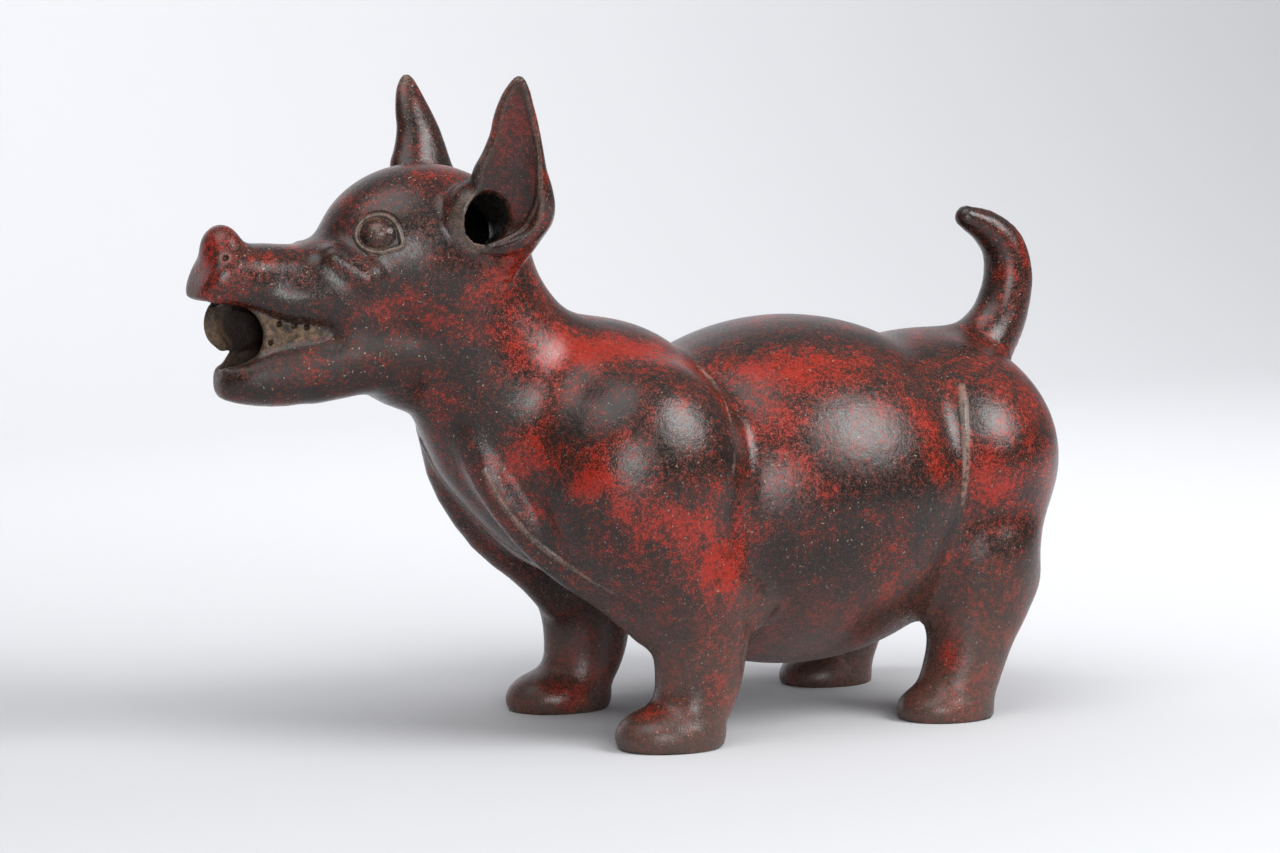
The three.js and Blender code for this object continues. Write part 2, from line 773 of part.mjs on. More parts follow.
function thin(mesh, goal, care) {
  const points = Float64Array.from(mesh.points);
  const faces = Int32Array.from(mesh.faces);
  const count = points.length / 3;
  const errors = planeErrors(points, faces, care);
  const around = Array.from({ length: count }, () => []);
  for (let f = 0; f < faces.length; f += 1) around[faces[f]].push(Math.floor(f / 3));
  const gone = new Uint8Array(faces.length / 3);
  const stamp = new Int32Array(count);
  const queue = new Queue();
  const sum = new Float64Array(10);

  const offer = (a, b) => {
    for (let t = 0; t < 10; t += 1) sum[t] = errors[a * 10 + t] + errors[b * 10 + t];
    const [xx, xy, xz, xd, yy, yz, yd, zz, zd, dd] = sum;
    const c0 = yy * zz - yz * yz;
    const c1 = xz * yz - xy * zz;
    const c2 = xy * yz - xz * yy;
    const det = xx * c0 + xy * c1 + xz * c2;
    let x = (points[a * 3] + points[b * 3]) / 2;
    let y = (points[a * 3 + 1] + points[b * 3 + 1]) / 2;
    let z = (points[a * 3 + 2] + points[b * 3 + 2]) / 2;
    if (det > 1e-14) {
      const c3 = xx * zz - xz * xz;
      const c4 = xy * xz - xx * yz;
      const c5 = xx * yy - xy * xy;
      x = -(c0 * xd + c1 * yd + c2 * zd) / det;
      y = -(c1 * xd + c3 * yd + c4 * zd) / det;
      z = -(c2 * xd + c4 * yd + c5 * zd) / det;
    }
    const cost =
      xx * x * x + yy * y * y + zz * z * z + dd +
      2 * (xy * x * y + xz * x * z + yz * y * z + xd * x + yd * y + zd * z);
    queue.push({ cost, a, b, at: stamp[a] + stamp[b], x, y, z });
  };

  const neighbours = (v) => {
    const out = new Set();
    for (const f of around[v]) {
      for (let c = 0; c < 3; c += 1) out.add(faces[f * 3 + c]);
    }
    out.delete(v);
    return out;
  };

  // Whether moving v to the new place keeps its faces from turning over, other than those with w.
  const turns = (v, w, x, y, z) => {
    for (const f of around[v]) {
      const ids = [faces[f * 3], faces[f * 3 + 1], faces[f * 3 + 2]];
      if (ids.includes(w)) continue;
      const n = ids.indexOf(v);
      const [p, q] = [ids[(n + 1) % 3] * 3, ids[(n + 2) % 3] * 3];
      const ex = points[q] - points[p];
      const ey = points[q + 1] - points[p + 1];
      const ez = points[q + 2] - points[p + 2];
      const ax = points[p] - points[v * 3];
      const ay = points[p + 1] - points[v * 3 + 1];
      const az = points[p + 2] - points[v * 3 + 2];
      const bx = points[p] - x;
      const by = points[p + 1] - y;
      const bz = points[p + 2] - z;
      const old = [ay * ez - az * ey, az * ex - ax * ez, ax * ey - ay * ex];
      const now = [by * ez - bz * ey, bz * ex - bx * ez, bx * ey - by * ex];
      if (along(old, now) < 0.6 || size(now) < 0.08 * (ex * ex + ey * ey + ez * ez)) return true;
    }
    return false;
  };

  for (let f = 0; f < faces.length; f += 3) {
    for (let c = 0; c < 3; c += 1) {
      const [a, b] = [faces[f + c], faces[f + ((c + 1) % 3)]];
      if (a < b) offer(a, b);
    }
  }
  let left = faces.length / 3;
  while (left > goal && queue.items.length) {
    const { a, b, at, x, y, z } = queue.pop();
    if (stamp[a] < 0 || stamp[b] < 0 || at !== stamp[a] + stamp[b]) continue;
    const [nearA, nearB] = [neighbours(a), neighbours(b)];
    let common = 0;
    for (const v of nearA) if (nearB.has(v)) common += 1;
    const crowded = nearA.size + nearB.size > 15;
    if (common !== 2 || crowded || turns(a, b, x, y, z) || turns(b, a, x, y, z)) continue;
    points[a * 3] = x;
    points[a * 3 + 1] = y;
    points[a * 3 + 2] = z;
    for (let t = 0; t < 10; t += 1) errors[a * 10 + t] += errors[b * 10 + t];
    for (const f of around[b]) {
      const ids = [faces[f * 3], faces[f * 3 + 1], faces[f * 3 + 2]];
      if (ids.includes(a)) {
        gone[f] = 1;
        left -= 1;
        const third = ids.find((v) => v !== a && v !== b);
        around[third] = around[third].filter((g) => g !== f);
      } else {
        faces[f * 3 + ids.indexOf(b)] = a;
        around[a].push(f);
      }
    }
    around[a] = around[a].filter((f) => !gone[f]);
    stamp[b] = -1;
    stamp[a] += 1;
    for (const v of neighbours(a)) {
      stamp[v] += 1;
    }
    for (const v of neighbours(a)) offer(a, v);
  }
  const kept = [];
  for (let f = 0; f < gone.length; f += 1) {
    if (!gone[f]) kept.push(faces[f * 3], faces[f * 3 + 1], faces[f * 3 + 2]);
  }
  return { points, faces: kept };
}

// Evening out: edges are swapped and points slide along the surface, so that triangles are less thin

// A triangle's normal, as long as twice its area.
function facing(points, a, b, c) {
  const [p, q, r] = [a * 3, b * 3, c * 3];
  const ux = points[q] - points[p];
  const uy = points[q + 1] - points[p + 1];
  const uz = points[q + 2] - points[p + 2];
  const vx = points[r] - points[p];
  const vy = points[r + 1] - points[p + 1];
  const vz = points[r + 2] - points[p + 2];
  return [uy * vz - uz * vy, uz * vx - ux * vz, ux * vy - uy * vx];
}

const size = (n) => long3(n[0], n[1], n[2]);

// The cosine of the angle between two normals.
const along = (m, n) => (m[0] * n[0] + m[1] * n[1] + m[2] * n[2]) / (size(m) * size(n) + 1e-12);

// One for an even-sided triangle, nought for a needle.
function evenness(points, a, b, c) {
  let edges = 0;
  for (let n = 0; n < 3; n += 1) {
    edges += (points[a * 3 + n] - points[b * 3 + n]) ** 2;
    edges += (points[b * 3 + n] - points[c * 3 + n]) ** 2;
    edges += (points[c * 3 + n] - points[a * 3 + n]) ** 2;
  }
  return (2 * Math.sqrt(3) * size(facing(points, a, b, c))) / Math.max(edges, 1e-12);
}

function swapEdges(points, faces) {
  const count = points.length / 3;
  const owner = new Map();
  const degree = new Int32Array(count);
  for (let f = 0; f < faces.length; f += 1) {
    const next = f % 3 === 2 ? f - 2 : f + 1;
    owner.set(faces[f] * count + faces[next], f - (f % 3));
    degree[faces[f]] += 1;
  }
  const off = (v, change) => (degree[v] + change - 6) ** 2;
  for (let f = 0; f < faces.length; f += 3) {
    for (let c = 0; c < 3; c += 1) {
      const [a, b, p] = [faces[f + c], faces[f + ((c + 1) % 3)], faces[f + ((c + 2) % 3)]];
      const g = owner.get(b * count + a);
      const q = faces[g] + faces[g + 1] + faces[g + 2] - a - b;
      if (owner.has(p * count + q) || owner.has(q * count + p)) continue;
      const old = Math.min(evenness(points, a, b, p), evenness(points, b, a, q));
      const now = Math.min(evenness(points, a, q, p), evenness(points, q, b, p));
      const before = off(a, 0) + off(b, 0) + off(p, 0) + off(q, 0);
      const after = off(a, -1) + off(b, -1) + off(p, 1) + off(q, 1);
      if (!(now > old * 1.2 || (after < before && now > old * 0.8))) continue;
      const [n1, n2] = [facing(points, a, b, p), facing(points, b, a, q)];
      const [m1, m2] = [facing(points, a, q, p), facing(points, q, b, p)];
      if (along(n1, n2) < 0.8 || along(m1, n1) < 0.8 || along(m1, n2) < 0.8) continue;
      if (along(m2, n1) < 0.8 || along(m2, n2) < 0.8) continue;
      faces[f] = a;
      faces[f + 1] = q;
      faces[f + 2] = p;
      faces[g] = q;
      faces[g + 1] = b;
      faces[g + 2] = p;
      owner.delete(a * count + b);
      owner.delete(b * count + a);
      owner.set(a * count + q, f);
      owner.set(q * count + p, f);
      owner.set(p * count + a, f);
      owner.set(q * count + b, g);
      owner.set(b * count + p, g);
      owner.set(p * count + q, g);
      degree[a] -= 1;
      degree[b] -= 1;
      degree[p] += 1;
      degree[q] += 1;
      break;
    }
  }
}

function slide(points, faces) {
  const count = points.length / 3;
  const middle = new Float64Array(count * 4);
  const normals = new Float64Array(count * 4);
  for (let f = 0; f < faces.length; f += 3) {
    const normal = facing(points, faces[f], faces[f + 1], faces[f + 2]);
    for (let c = 0; c < 3; c += 1) {
      const [v, w] = [faces[f + c], faces[f + ((c + 1) % 3)]];
      for (let n = 0; n < 3; n += 1) {
        middle[v * 4 + n] += points[w * 3 + n];
        normals[v * 4 + n] += normal[n];
      }
      middle[v * 4 + 3] += 1;
      normals[v * 4 + 3] += size(normal);
    }
  }
  for (let v = 0; v < count; v += 1) {
    if (!middle[v * 4 + 3]) continue;
    const long = Math.hypot(normals[v * 4], normals[v * 4 + 1], normals[v * 4 + 2]);
    const flat = long / normals[v * 4 + 3];
    const share = 0.5 * Math.min(Math.max((flat - 0.86) / 0.1, 0), 1);
    const move = [0, 1, 2].map((n) => middle[v * 4 + n] / middle[v * 4 + 3] - points[v * 3 + n]);
    const out = [0, 1, 2].map((n) => normals[v * 4 + n] / long);
    const rise = move[0] * out[0] + move[1] * out[1] + move[2] * out[2];
    for (let n = 0; n < 3; n += 1) points[v * 3 + n] += share * (move[n] - rise * out[n]);
  }
}

function relax(mesh, field, rounds = 4) {
  for (let round = 0; round < rounds; round += 1) {
    swapEdges(mesh.points, mesh.faces);
    slide(mesh.points, mesh.faces);
    settle(mesh, field, 1);
  }
  return mesh;
}

// A mesh of about so many triangles, thinned in stages and evened out after each.
function refined(mesh, goal, field) {
  let out = mesh;
  for (const share of [4, 1.6, 1]) {
    out = relax(thin(out, goal * share, care), field, share === 1 ? 4 : 2);
  }
  return out;
}

// The head, the tail and the feet are followed more closely than the round body.
function care(x, y, z) {
  if (x < NECK.from[0] && z > NECK.from[2]) return CARE.head;
  return z < CARE.feet || (x > CARE.tail[0] && z > CARE.tail[1]) ? CARE.ends : 1;
}

// A mesh in units as a geometry in millimetres.
function geometryOf({ points, faces }) {
  const place = new Map();
  const positions = [];
  const index = faces.map((v) => {
    if (!place.has(v)) {
      place.set(v, positions.length / 3);
      for (let c = 0; c < 3; c += 1) positions.push(points[v * 3 + c] * UNIT);
    }
    return place.get(v);
  });
  const geometry = new THREE.BufferGeometry();
  geometry.setAttribute("position", new THREE.Float32BufferAttribute(positions, 3));
  geometry.setIndex(index);
  return geometry;
}

// Solids and cuts

const wasm = await Module();
wasm.setup();

function solid(geometry) {
  const index = geometry.index.array;
  return new wasm.Manifold(
    new wasm.Mesh({
      numProp: 3,
      vertProperties: Float32Array.from(geometry.attributes.position.array),
      triVerts: Uint32Array.from(index),
    }),
  );
}

// A round pin between two points, as the tool that leaves a bore.
function pin(from, to, bore, sides) {
  const [a, b] = [new THREE.Vector3(...from), new THREE.Vector3(...to)];
  const ring = [];
  const index = [];
  const along = b.clone().sub(a).normalize();
  const across = new THREE.Vector3(0, 0, 1).cross(along).normalize();
  const up = along.clone().cross(across);
  for (const [end, centre] of [a, b].entries()) {
    for (let n = 0; n < sides; n += 1) {
      const angle = (n * 2 * Math.PI) / sides;
      const point = centre.clone();
      point.addScaledVector(across, (Math.cos(angle) * bore) / 2);
      point.addScaledVector(up, (Math.sin(angle) * bore) / 2);
      ring.push(...point.toArray());
      const [p, q] = [end * sides + n, end * sides + ((n + 1) % sides)];
      if (end) index.push(p, q, 2 * sides + 1, p, p - sides, q - sides, p, q - sides, q);
      else index.push(q, p, 2 * sides);
    }
  }
  ring.push(...a.toArray(), ...b.toArray());
  const geometry = new THREE.BufferGeometry();
  geometry.setAttribute("position", new THREE.Float32BufferAttribute(ring, 3));
  geometry.setIndex(index);
  return solid(geometry);
}

// A block below the floor plane, as the tool that leaves flat soles.
function floorBlock() {
  const side = 2 * FIGURE_HEIGHT;
  const box = new THREE.BoxGeometry(side, side, side).translate(0, 0, -side / 2);
  box.deleteAttribute("normal");
  box.deleteAttribute("uv");
  const corners = [];
  const place = new Map();
  const position = box.attributes.position;
  const index = Array.from(box.index.array, (v) => {
    const at = [position.getX(v), position.getY(v), position.getZ(v)];
    const key = at.join();
    if (!place.has(key)) {
      place.set(key, corners.length / 3);
      corners.push(...at);
    }
    return place.get(key);
  });
  const merged = new THREE.BufferGeometry();
  merged.setAttribute("position", new THREE.Float32BufferAttribute(corners, 3));
  merged.setIndex(index);
  return solid(merged);
}

const inMillimetres = ([x, y, z], side = 1) => [x * UNIT, y * side * UNIT, z * UNIT];

// A bore that starts before its mouth and runs depth millimetres from it towards a second point.
function bore(mouth, towards, diameter, depth, side, sides, lead) {
  const from = new THREE.Vector3(...inMillimetres(mouth, side));
  const way = new THREE.Vector3(...inMillimetres(towards, side)).sub(from).normalize();
  const start = from.clone().addScaledVector(way, -lead);
  const end = from.clone().addScaledVector(way, depth);
  return pin(start.toArray(), end.toArray(), diameter, sides);
}

// The grid holds every form, with room round it.
function extent() {
  const [front, back] = [MUZZLE[0][0], Math.max(...TAIL.map(([x, , , radius]) => x + radius))];
  const widest = BARREL.centre[1] + BARREL.radii[1];
  const [low, high] = [FORELEG[0][0], EAR[EAR.length - 1][0]];
  return {
    x: [front - GRID.room, back + GRID.room],
    y: [-widest - GRID.room, widest + GRID.room],
    z: [low - GRID.room, high + GRID.room],
  };
}

// The y at which the outer face of the cheek web lies at a place in the side view.
function webFace(x, z, side) {
  let y = Math.max(...WEB.map((row) => row[3]));
  while (y > 0 && clay(x, side * y, z) > 0) y -= 0.1;
  return y;
}

function dog() {
  const { x, y, z } = extent();
  const xs = spaced([x[0], NECK.from[0], x[1]], [GRID.head, GRID.body]);
  const ys = spaced(y, [GRID.across]);
  const zs = spaced([z[0], NECK.from[2], z[1]], [GRID.body, GRID.head]);
  const skin = refined(surface(clay, xs, ys, zs), OUTER_TRIANGLES, clay);
  const room = [x, y, z].map((ends) => spaced(ends, [GRID.hollow]));
  const inside = refined(surface(hollow, ...room), HOLLOW_TRIANGLES, hollow);
  let clayDog = solid(geometryOf(skin)).subtract(floorBlock());
  clayDog = clayDog.subtract(solid(geometryOf(inside)));
  for (const side of [-1, 1]) {
    const { mouth, towards } = EAR_HOLE;
    clayDog = clayDog.subtract(bore(mouth, towards, EAR_BORE, EAR_BORE_DEPTH, side, 20, 1));
    const nostril = bore(NOSTRIL.mouth, NOSTRIL.towards, NOSTRIL_BORE, NOSTRIL_DEPTH, side, 8, 3);
    clayDog = clayDog.subtract(nostril);
    for (const [toothX, toothZ] of TEETH) {
      const face = [toothX, webFace(toothX, toothZ, side), toothZ];
      const inwards = [toothX, 0, toothZ];
      clayDog = clayDog.subtract(bore(face, inwards, TOOTH_BORE, TOOTH_DEPTH, side, 8, 2));
    }
  }
  return clayDog;
}

function meshFrom(made, name, material) {
  const { vertProperties, triVerts } = made.getMesh();
  const geometry = new THREE.BufferGeometry();
  geometry.setAttribute("position", new THREE.BufferAttribute(vertProperties, 3));
  geometry.setIndex(new THREE.BufferAttribute(triVerts, 1));
  geometry.computeBoundingBox();
  const middle = geometry.boundingBox.getCenter(new THREE.Vector3());
  geometry.translate(-middle.x, -middle.y, 0);
  geometry.computeVertexNormals();
  const mesh = new THREE.Mesh(geometry, material);
  mesh.name = name;
  return mesh;
}

const burnishedClay = new THREE.MeshStandardMaterial({
  color: 0x5a2a20,
  roughness: 0.35,
  metalness: 0,
});

const figure = new THREE.Group();
figure.add(meshFrom(dog(), "dog_vessel", burnishedClay));

export default figure;
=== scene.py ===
# %% [markdown]
# # A burnished clay dog
#
# The object is a hollow dog of fired clay, as long as a forearm. A potter built it from coils,
# smoothed it while the clay was soft, dipped it in red slip and rubbed it with a pebble until it
# shone. The kiln and centuries in the ground left black clouds, specks and dust on it. This script
# makes the skin of that dog, finishes it and lights it.

import math
from collections import namedtuple

import bpy
import numpy as np
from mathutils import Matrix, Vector


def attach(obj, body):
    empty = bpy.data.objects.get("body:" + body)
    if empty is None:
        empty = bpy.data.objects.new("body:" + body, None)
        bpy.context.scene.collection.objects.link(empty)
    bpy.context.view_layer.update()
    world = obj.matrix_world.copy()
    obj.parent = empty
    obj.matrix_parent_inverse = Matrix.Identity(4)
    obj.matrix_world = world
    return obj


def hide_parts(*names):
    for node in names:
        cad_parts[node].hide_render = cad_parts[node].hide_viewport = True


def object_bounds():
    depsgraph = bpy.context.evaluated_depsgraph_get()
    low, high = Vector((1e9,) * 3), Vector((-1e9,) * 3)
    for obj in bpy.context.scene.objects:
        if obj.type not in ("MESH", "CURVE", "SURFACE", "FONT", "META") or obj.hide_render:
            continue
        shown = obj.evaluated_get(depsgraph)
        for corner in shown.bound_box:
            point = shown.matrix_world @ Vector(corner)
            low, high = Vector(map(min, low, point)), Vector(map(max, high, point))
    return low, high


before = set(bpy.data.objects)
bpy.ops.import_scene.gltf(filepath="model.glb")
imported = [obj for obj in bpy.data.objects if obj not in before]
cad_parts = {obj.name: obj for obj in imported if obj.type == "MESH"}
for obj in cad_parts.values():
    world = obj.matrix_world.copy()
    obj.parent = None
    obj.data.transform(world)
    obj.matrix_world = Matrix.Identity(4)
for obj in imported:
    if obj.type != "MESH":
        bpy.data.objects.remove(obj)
CAD_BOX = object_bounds()
CAD_SIZE = CAD_BOX[1] - CAD_BOX[0]
print("CAD box, millimetres:", [round(side * 1000) for side in CAD_SIZE])

# %% [markdown]
# ## Clay as a distance
#
# Soft clay has no edges that a ruler could draw: one coil runs into the next. A mesh built from
# boxes and tubes would show its joints, and sculpting by hand can't be repeated by a script. So
# every form here is a signed distance, a number for each point in space that is negative inside
# the clay and positive outside it. Two forms are run together by a rounded minimum, which leaves
# the small fillet that a thumb leaves. The numbers are millimetres, and all points are worked out
# at once as numpy arrays: p holds points, one in each row, m the same points brought to one side of
# the dog, and f the distance of the clay so far.

# %% Soft minimum and maximum
Feature = namedtuple("Feature", "at centre reach")


def length(v):
    """Length of each row: the square root of the sum of its squares."""
    return np.sqrt(np.einsum("ij,ij->i", v, v))


def smooth(x, low, high):
    """0 below low, 1 above high, and 3 t squared - 2 t cubed between them."""
    t = np.clip((x - low) / (high - low), 0, 1)
    return t * t * (3 - 2 * t)


def bump(x, width):
    """1 where x is 0, falling to 0 at the width on both sides: 1 - s squared, squared."""
    return (1 - np.clip(x / width, -1, 1) ** 2) ** 2


def soft(a, b, width):
    """Rounded minimum: the smaller of a and b, less h cubed times width / 6, where h falls from
    1 where they are equal to 0 where they differ by the width."""
    h = np.clip(width - np.abs(a - b), 0, None) / width
    return np.minimum(a, b) - h**3 * width / 6


def soft_cut(a, b, width):
    """Rounded maximum, which keeps a only where b is negative."""
    return -soft(-a, -b, width)


meeting = soft(np.array([1.0]), np.array([1.0]), 3)[0]
print("two forms 1 mm away, run together over 3 mm:", meeting, "mm away")

# %% [markdown]
# ## Adding clay and taking it away
#
# A form knows its distance, its centre and how far it reaches. Working out every form at every
# point would be slow, so a form is only asked about the points where the ball that holds it is near
# enough to count. It leaves the others as they are.

# %% Add and take
def away(part, p):
    """Distance to the ball that holds a feature: that to its centre less its reach."""
    return length(p - part.centre) - part.reach


def add(f, part, width, p):
    """Runs a feature into the distance f of the clay so far, only at the points it can reach."""
    near = away(part, p) <= f + width
    out = f.copy()
    out[near] = soft(f[near], part.at(p[near]), width)
    return out


def take(f, part, width, p):
    """Takes a feature out of the clay with a rounded rim, only at the points it can reach."""
    near = away(part, p) <= width - f
    out = f.copy()
    out[near] = soft_cut(f[near], -part.at(p[near]), width)
    return out


print("a feature has:", ", ".join(Feature._fields))

# %% [markdown]
# ## Settling on the clay
#
# A point near the clay is brought on to it by going down the slope of the distance, as a drop runs
# down a bowl. One step isn't exact, because the slope changes on the way, so it is repeated, and
# the steps are kept short.

# %% Slope and settling
def slope(f, p, step=0.05):
    """Central differences of a distance along x, y and z."""
    ways = np.eye(3) * step
    return np.stack([(f(p + w) - f(p - w)) / (2 * step) for w in ways], axis=1)


def settle(p, f, rounds=2, most=1.5):
    """Moves each point by the distance over the squared slope, against the slope."""
    for _ in range(rounds):
        g = slope(f, p)
        move = f(p) / np.maximum(np.einsum("ij,ij->i", g, g), 0.2)
        p = p - g * np.clip(move, -most, most)[:, None]
    return p


def unit_ball(p):
    """Length less 1, to try settling on."""
    return length(p) - 1


settled = settle(np.array([[2.0, 1.0, 0.0]]), unit_ball)
print("off a ball after settling:", round(float(unit_ball(settled)[0]), 6))

# %% [markdown]
# ## Eggs and limbs
#
# The body is made of eggs: barrel, rump, chest, shoulders, skull. The neck and the small rolls on
# the face are a ball swept along a straight line. Blender's metaballs could run such forms
# together, but they give no say over each joint's width.

# %% Egg and limb
def ellipsoid(centre, radii):
    """Egg: with k0 the length of (p - centre) / radii and k1 that of (p - centre) / radii squared,
    the distance is close to k0 (k0 - 1) / k1."""
    centre, radii = np.array(centre, float), np.array(radii, float)

    def at(p):
        q = (p - centre) / radii
        k0 = length(q)
        return k0 * (k0 - 1) / np.maximum(length(q / radii), 1e-9)

    return Feature(at, centre, radii.max())


def limb(start, end, radii, flat=1.0):
    """A ball swept along a straight line from one radius to the other and squeezed across y:
    distance to the nearest point of the line, less the radius there."""
    squeeze = np.array([1, flat, 1])
    a, b = np.array(start, float) / squeeze, np.array(end, float) / squeeze
    way = b - a

    def at(p):
        q = p / squeeze - a
        t = np.clip(q @ way / (way @ way), 0, 1)
        return (length(q - t[:, None] * way) - radii[0] - (radii[1] - radii[0]) * t) * flat

    middle = (a + b) / 2 * squeeze
    return Feature(at, middle, length(way[None])[0] / 2 + max(radii))


egg = ellipsoid((0, 0, 0), (3, 2, 2))
print("3 mm beyond the end of a small egg:", round(float(egg.at(np.array([[6.0, 0, 0]]))[0]), 2), "mm")

# %% [markdown]
# ## A curve through a table
#
# Legs, ears and jaws have sections that change all the way. A few measured ones are kept in a
# table, and a cubic curve runs through its rows, so that a handful of numbers gives a smooth limb.

# %% Cubic curve
def between(rows):
    """Cubic curve through the rows of a table, by its first column: each stretch leaves and
    enters its rows at the slope of the line that joins their neighbours."""
    rows = np.array(rows, float)
    knots, values = rows[:, 0], rows[:, 1:]
    ends = np.arange(len(rows))
    before, after = np.maximum(ends - 1, 0), np.minimum(ends + 1, len(rows) - 1)
    slopes = (values[after] - values[before]) / (knots[after] - knots[before])[:, None]

    def read(s):
        s = np.clip(s, knots[0], knots[-1])
        i = np.clip(np.searchsorted(knots, s, side="right") - 1, 0, len(knots) - 2)
        h = (knots[i + 1] - knots[i])[:, None]
        t = (s - knots[i])[:, None] / h
        a = t * t * (2 * t - 3) + 1
        b = t * (t - 1) ** 2 * h
        c = t * t * (t - 1) * h
        return a * values[i] + b * slopes[i] + (1 - a) * values[i + 1] + c * slopes[i + 1]

    return read


print("half way from 1 to 4 in a table:", between([(0, 0), (1, 1), (2, 4), (3, 9)])(np.array([1.5])))

# %% [markdown]
# ## Stacks and strings of ovals
#
# Legs and ears are level ovals stacked upwards, jaws are upright ones strung along the head. The
# distance is worked out in the plane of the oval, which is close enough as long as the sections
# change gently. The ends are closed by planes with a rounded edge.

# %% Column and loaf
def column(rows, turn=0.0, rounding=1.0):
    """Level ovals stacked up z. A row is z, the oval's middle in x and y, and its half widths.
    With u and v the place in the oval over its half widths and s their length, the distance to
    its side is (s - 1) over the slope of s. Near the middle, where that slope has no meaning, it
    is (s - 1) times the smaller half width."""
    read = between(rows)
    rows = np.array(rows, float)
    cosine, sine = math.cos(math.radians(turn)), math.sin(math.radians(turn))
    low, high = rows[0, 0], rows[-1, 0]
    spare = 8  # the curve may swing out past its rows

    def at(p):
        mx, my, rx, ry = read(p[:, 2]).T
        dx, dy = p[:, 0] - mx, p[:, 1] - my
        u, v = (dx * cosine + dy * sine) / rx, (dy * cosine - dx * sine) / ry
        s = np.hypot(u, v)
        steepness = np.hypot(u / rx, v / ry) / np.maximum(s, 1e-6)
        middle_side = (s - 1) * np.minimum(rx, ry)
        side = np.where(s < 0.3, middle_side, (s - 1) / np.maximum(steepness, 1e-6))
        return soft_cut(side, np.maximum(low - p[:, 2], p[:, 2] - high), rounding)

    middle = rows[len(rows) // 2]
    widest = (np.hypot(rows[:, 3], rows[:, 4]) + np.abs(rows[:, 1] - middle[1])).max()
    centre = np.array([middle[1], middle[2], (low + high) / 2])
    return Feature(at, centre, math.hypot((high - low) / 2, widest + spare))


def loaf(rows, power=2.3):
    """Upright ovals strung along x, a little boxy. A row is x, the oval's middle height, and its
    half height and half width: s is the power mean of z and y over these, and the distance to
    the side is (s - 1) times the smaller of them."""
    read = between(rows)
    rows = np.array(rows, float)
    low, high = rows[0, 0], rows[-1, 0]

    def at(p):
        mz, rz, ry = read(p[:, 0]).T
        s = (np.abs((p[:, 2] - mz) / rz) ** power + np.abs(p[:, 1] / ry) ** power) ** (1 / power)
        side = (s - 1) * np.minimum(rz, ry)
        return soft_cut(side, np.maximum(low - p[:, 0], p[:, 0] - high), 6)

    middle = rows[len(rows) // 2]
    widest = (np.hypot(rows[:, 2], rows[:, 3]) + np.abs(rows[:, 1] - middle[1])).max()
    centre = np.array([(low + high) / 2, 0, middle[1]])
    return Feature(at, centre, math.hypot((high - low) / 2, widest))


post = column([(0, 0, 0, 5, 5), (10, 0, 0, 5, 5), (20, 0, 0, 5, 5)])
print("2 mm beside a round post:", round(float(post.at(np.array([[7.0, 0, 10]]))[0]), 2), "mm")

# %% [markdown]
# ## Swept balls
#
# The tail, the ridges and the cords are rolls of clay: a ball swept along a curve while its radius
# changes. The curve is cut into short straight limbs, and the nearest of them counts.

# %% Tube
def tube(points, count):
    """A ball swept along a cubic curve through points of x, y, z and radius: the nearest of the
    short limbs that the curve is cut into."""
    points = np.array(points, float)
    read = between(np.column_stack([np.arange(len(points)), points]))
    knots = read(np.linspace(0, len(points) - 1, count + 1))
    a, way = knots[:-1, :3], np.diff(knots[:, :3], axis=0)
    thick, grow = knots[:-1, 3], np.diff(knots[:, 3])

    def at(p):
        q = p[:, None, :] - a
        t = np.clip(np.einsum("ijk,jk->ij", q, way) / np.einsum("jk,jk->j", way, way), 0, 1)
        gap = np.linalg.norm(q - t[..., None] * way, axis=2)
        return (gap - thick - grow * t).min(axis=1)

    centre = knots[:, :3].mean(axis=0)
    return Feature(at, centre, (length(knots[:, :3] - centre) + knots[:, 3]).max())


print("a roll of 4 points reaches", round(tube([(9 * k, 0, 0, 2) for k in range(4)], 6).reach), "mm")

# %% [markdown]
# ## The body's eggs
#
# Most of these are the same measures as in the CAD part, a form's middle and its half sizes. They
# could be read off the solid's mesh, but then nobody could change one of them. The dog looks along
# -X and is the same on both sides, so only one side is given, and the forms read the distance from
# the middle, |y|. The jowl and the corner of the mouth are fills that only this skin has, and the
# cheekbone, the fold in front of the eye, lies a little deeper here. They soften the joint between
# jaw and cheek, where the solid keeps a crease.

# %% Eggs of body and head
BARREL = ellipsoid((72, 0, 99), (96, 78, 77))
RUMP = ellipsoid((143.5, 0, 111), (58, 71, 56))
CHEST = ellipsoid((-24, 0, 122), (57, 61, 56))
SHOULDER = ellipsoid((-20, 42, 112), (46, 34, 50))
ELBOW = ellipsoid((22, 55, 60), (13, 9, 13))
HOCK = ellipsoid((157, 53, 61), (14, 10, 14))
NECK = limb((-60, 0, 139), (-93, 0, 193), (41, 36), flat=0.86)
SKULL = ellipsoid((-104, 0, 206.5), (46, 34, 38.5))
NOSE = ellipsoid((-192.6, 0, 212), (8, 9.5, 9.5))
CHEEK = ellipsoid((-156, 12, 191), (22, 10, 9.5))
CHEEKBONE = limb((-151, 17.6, 208.8), (-139, 23.4, 199.4), (3.2, 3.4))
JOWL = limb((-137, 13.5, 168.5), (-106, 12, 166), (10.5, 11))
MOUTH_CORNER = ellipsoid((-133, 12.5, 181), (17, 11, 13))
FOREFOOT = ellipsoid((-13.5, 51, 5), (24.5, 19, 13.5))
HINDFOOT = ellipsoid((124, 50, 4), (21, 17.5, 12))
print("from its middle the barrel reaches", BARREL.reach, "mm and the skull", SKULL.reach, "mm")

# %% [markdown]
# ## The legs
#
# A leg is a stack of level ovals that swells upwards into the body. A cone would have a corner
# where it meets the belly. The top rows shrink again inside the clay, so that the leg adds no
# lump higher up.

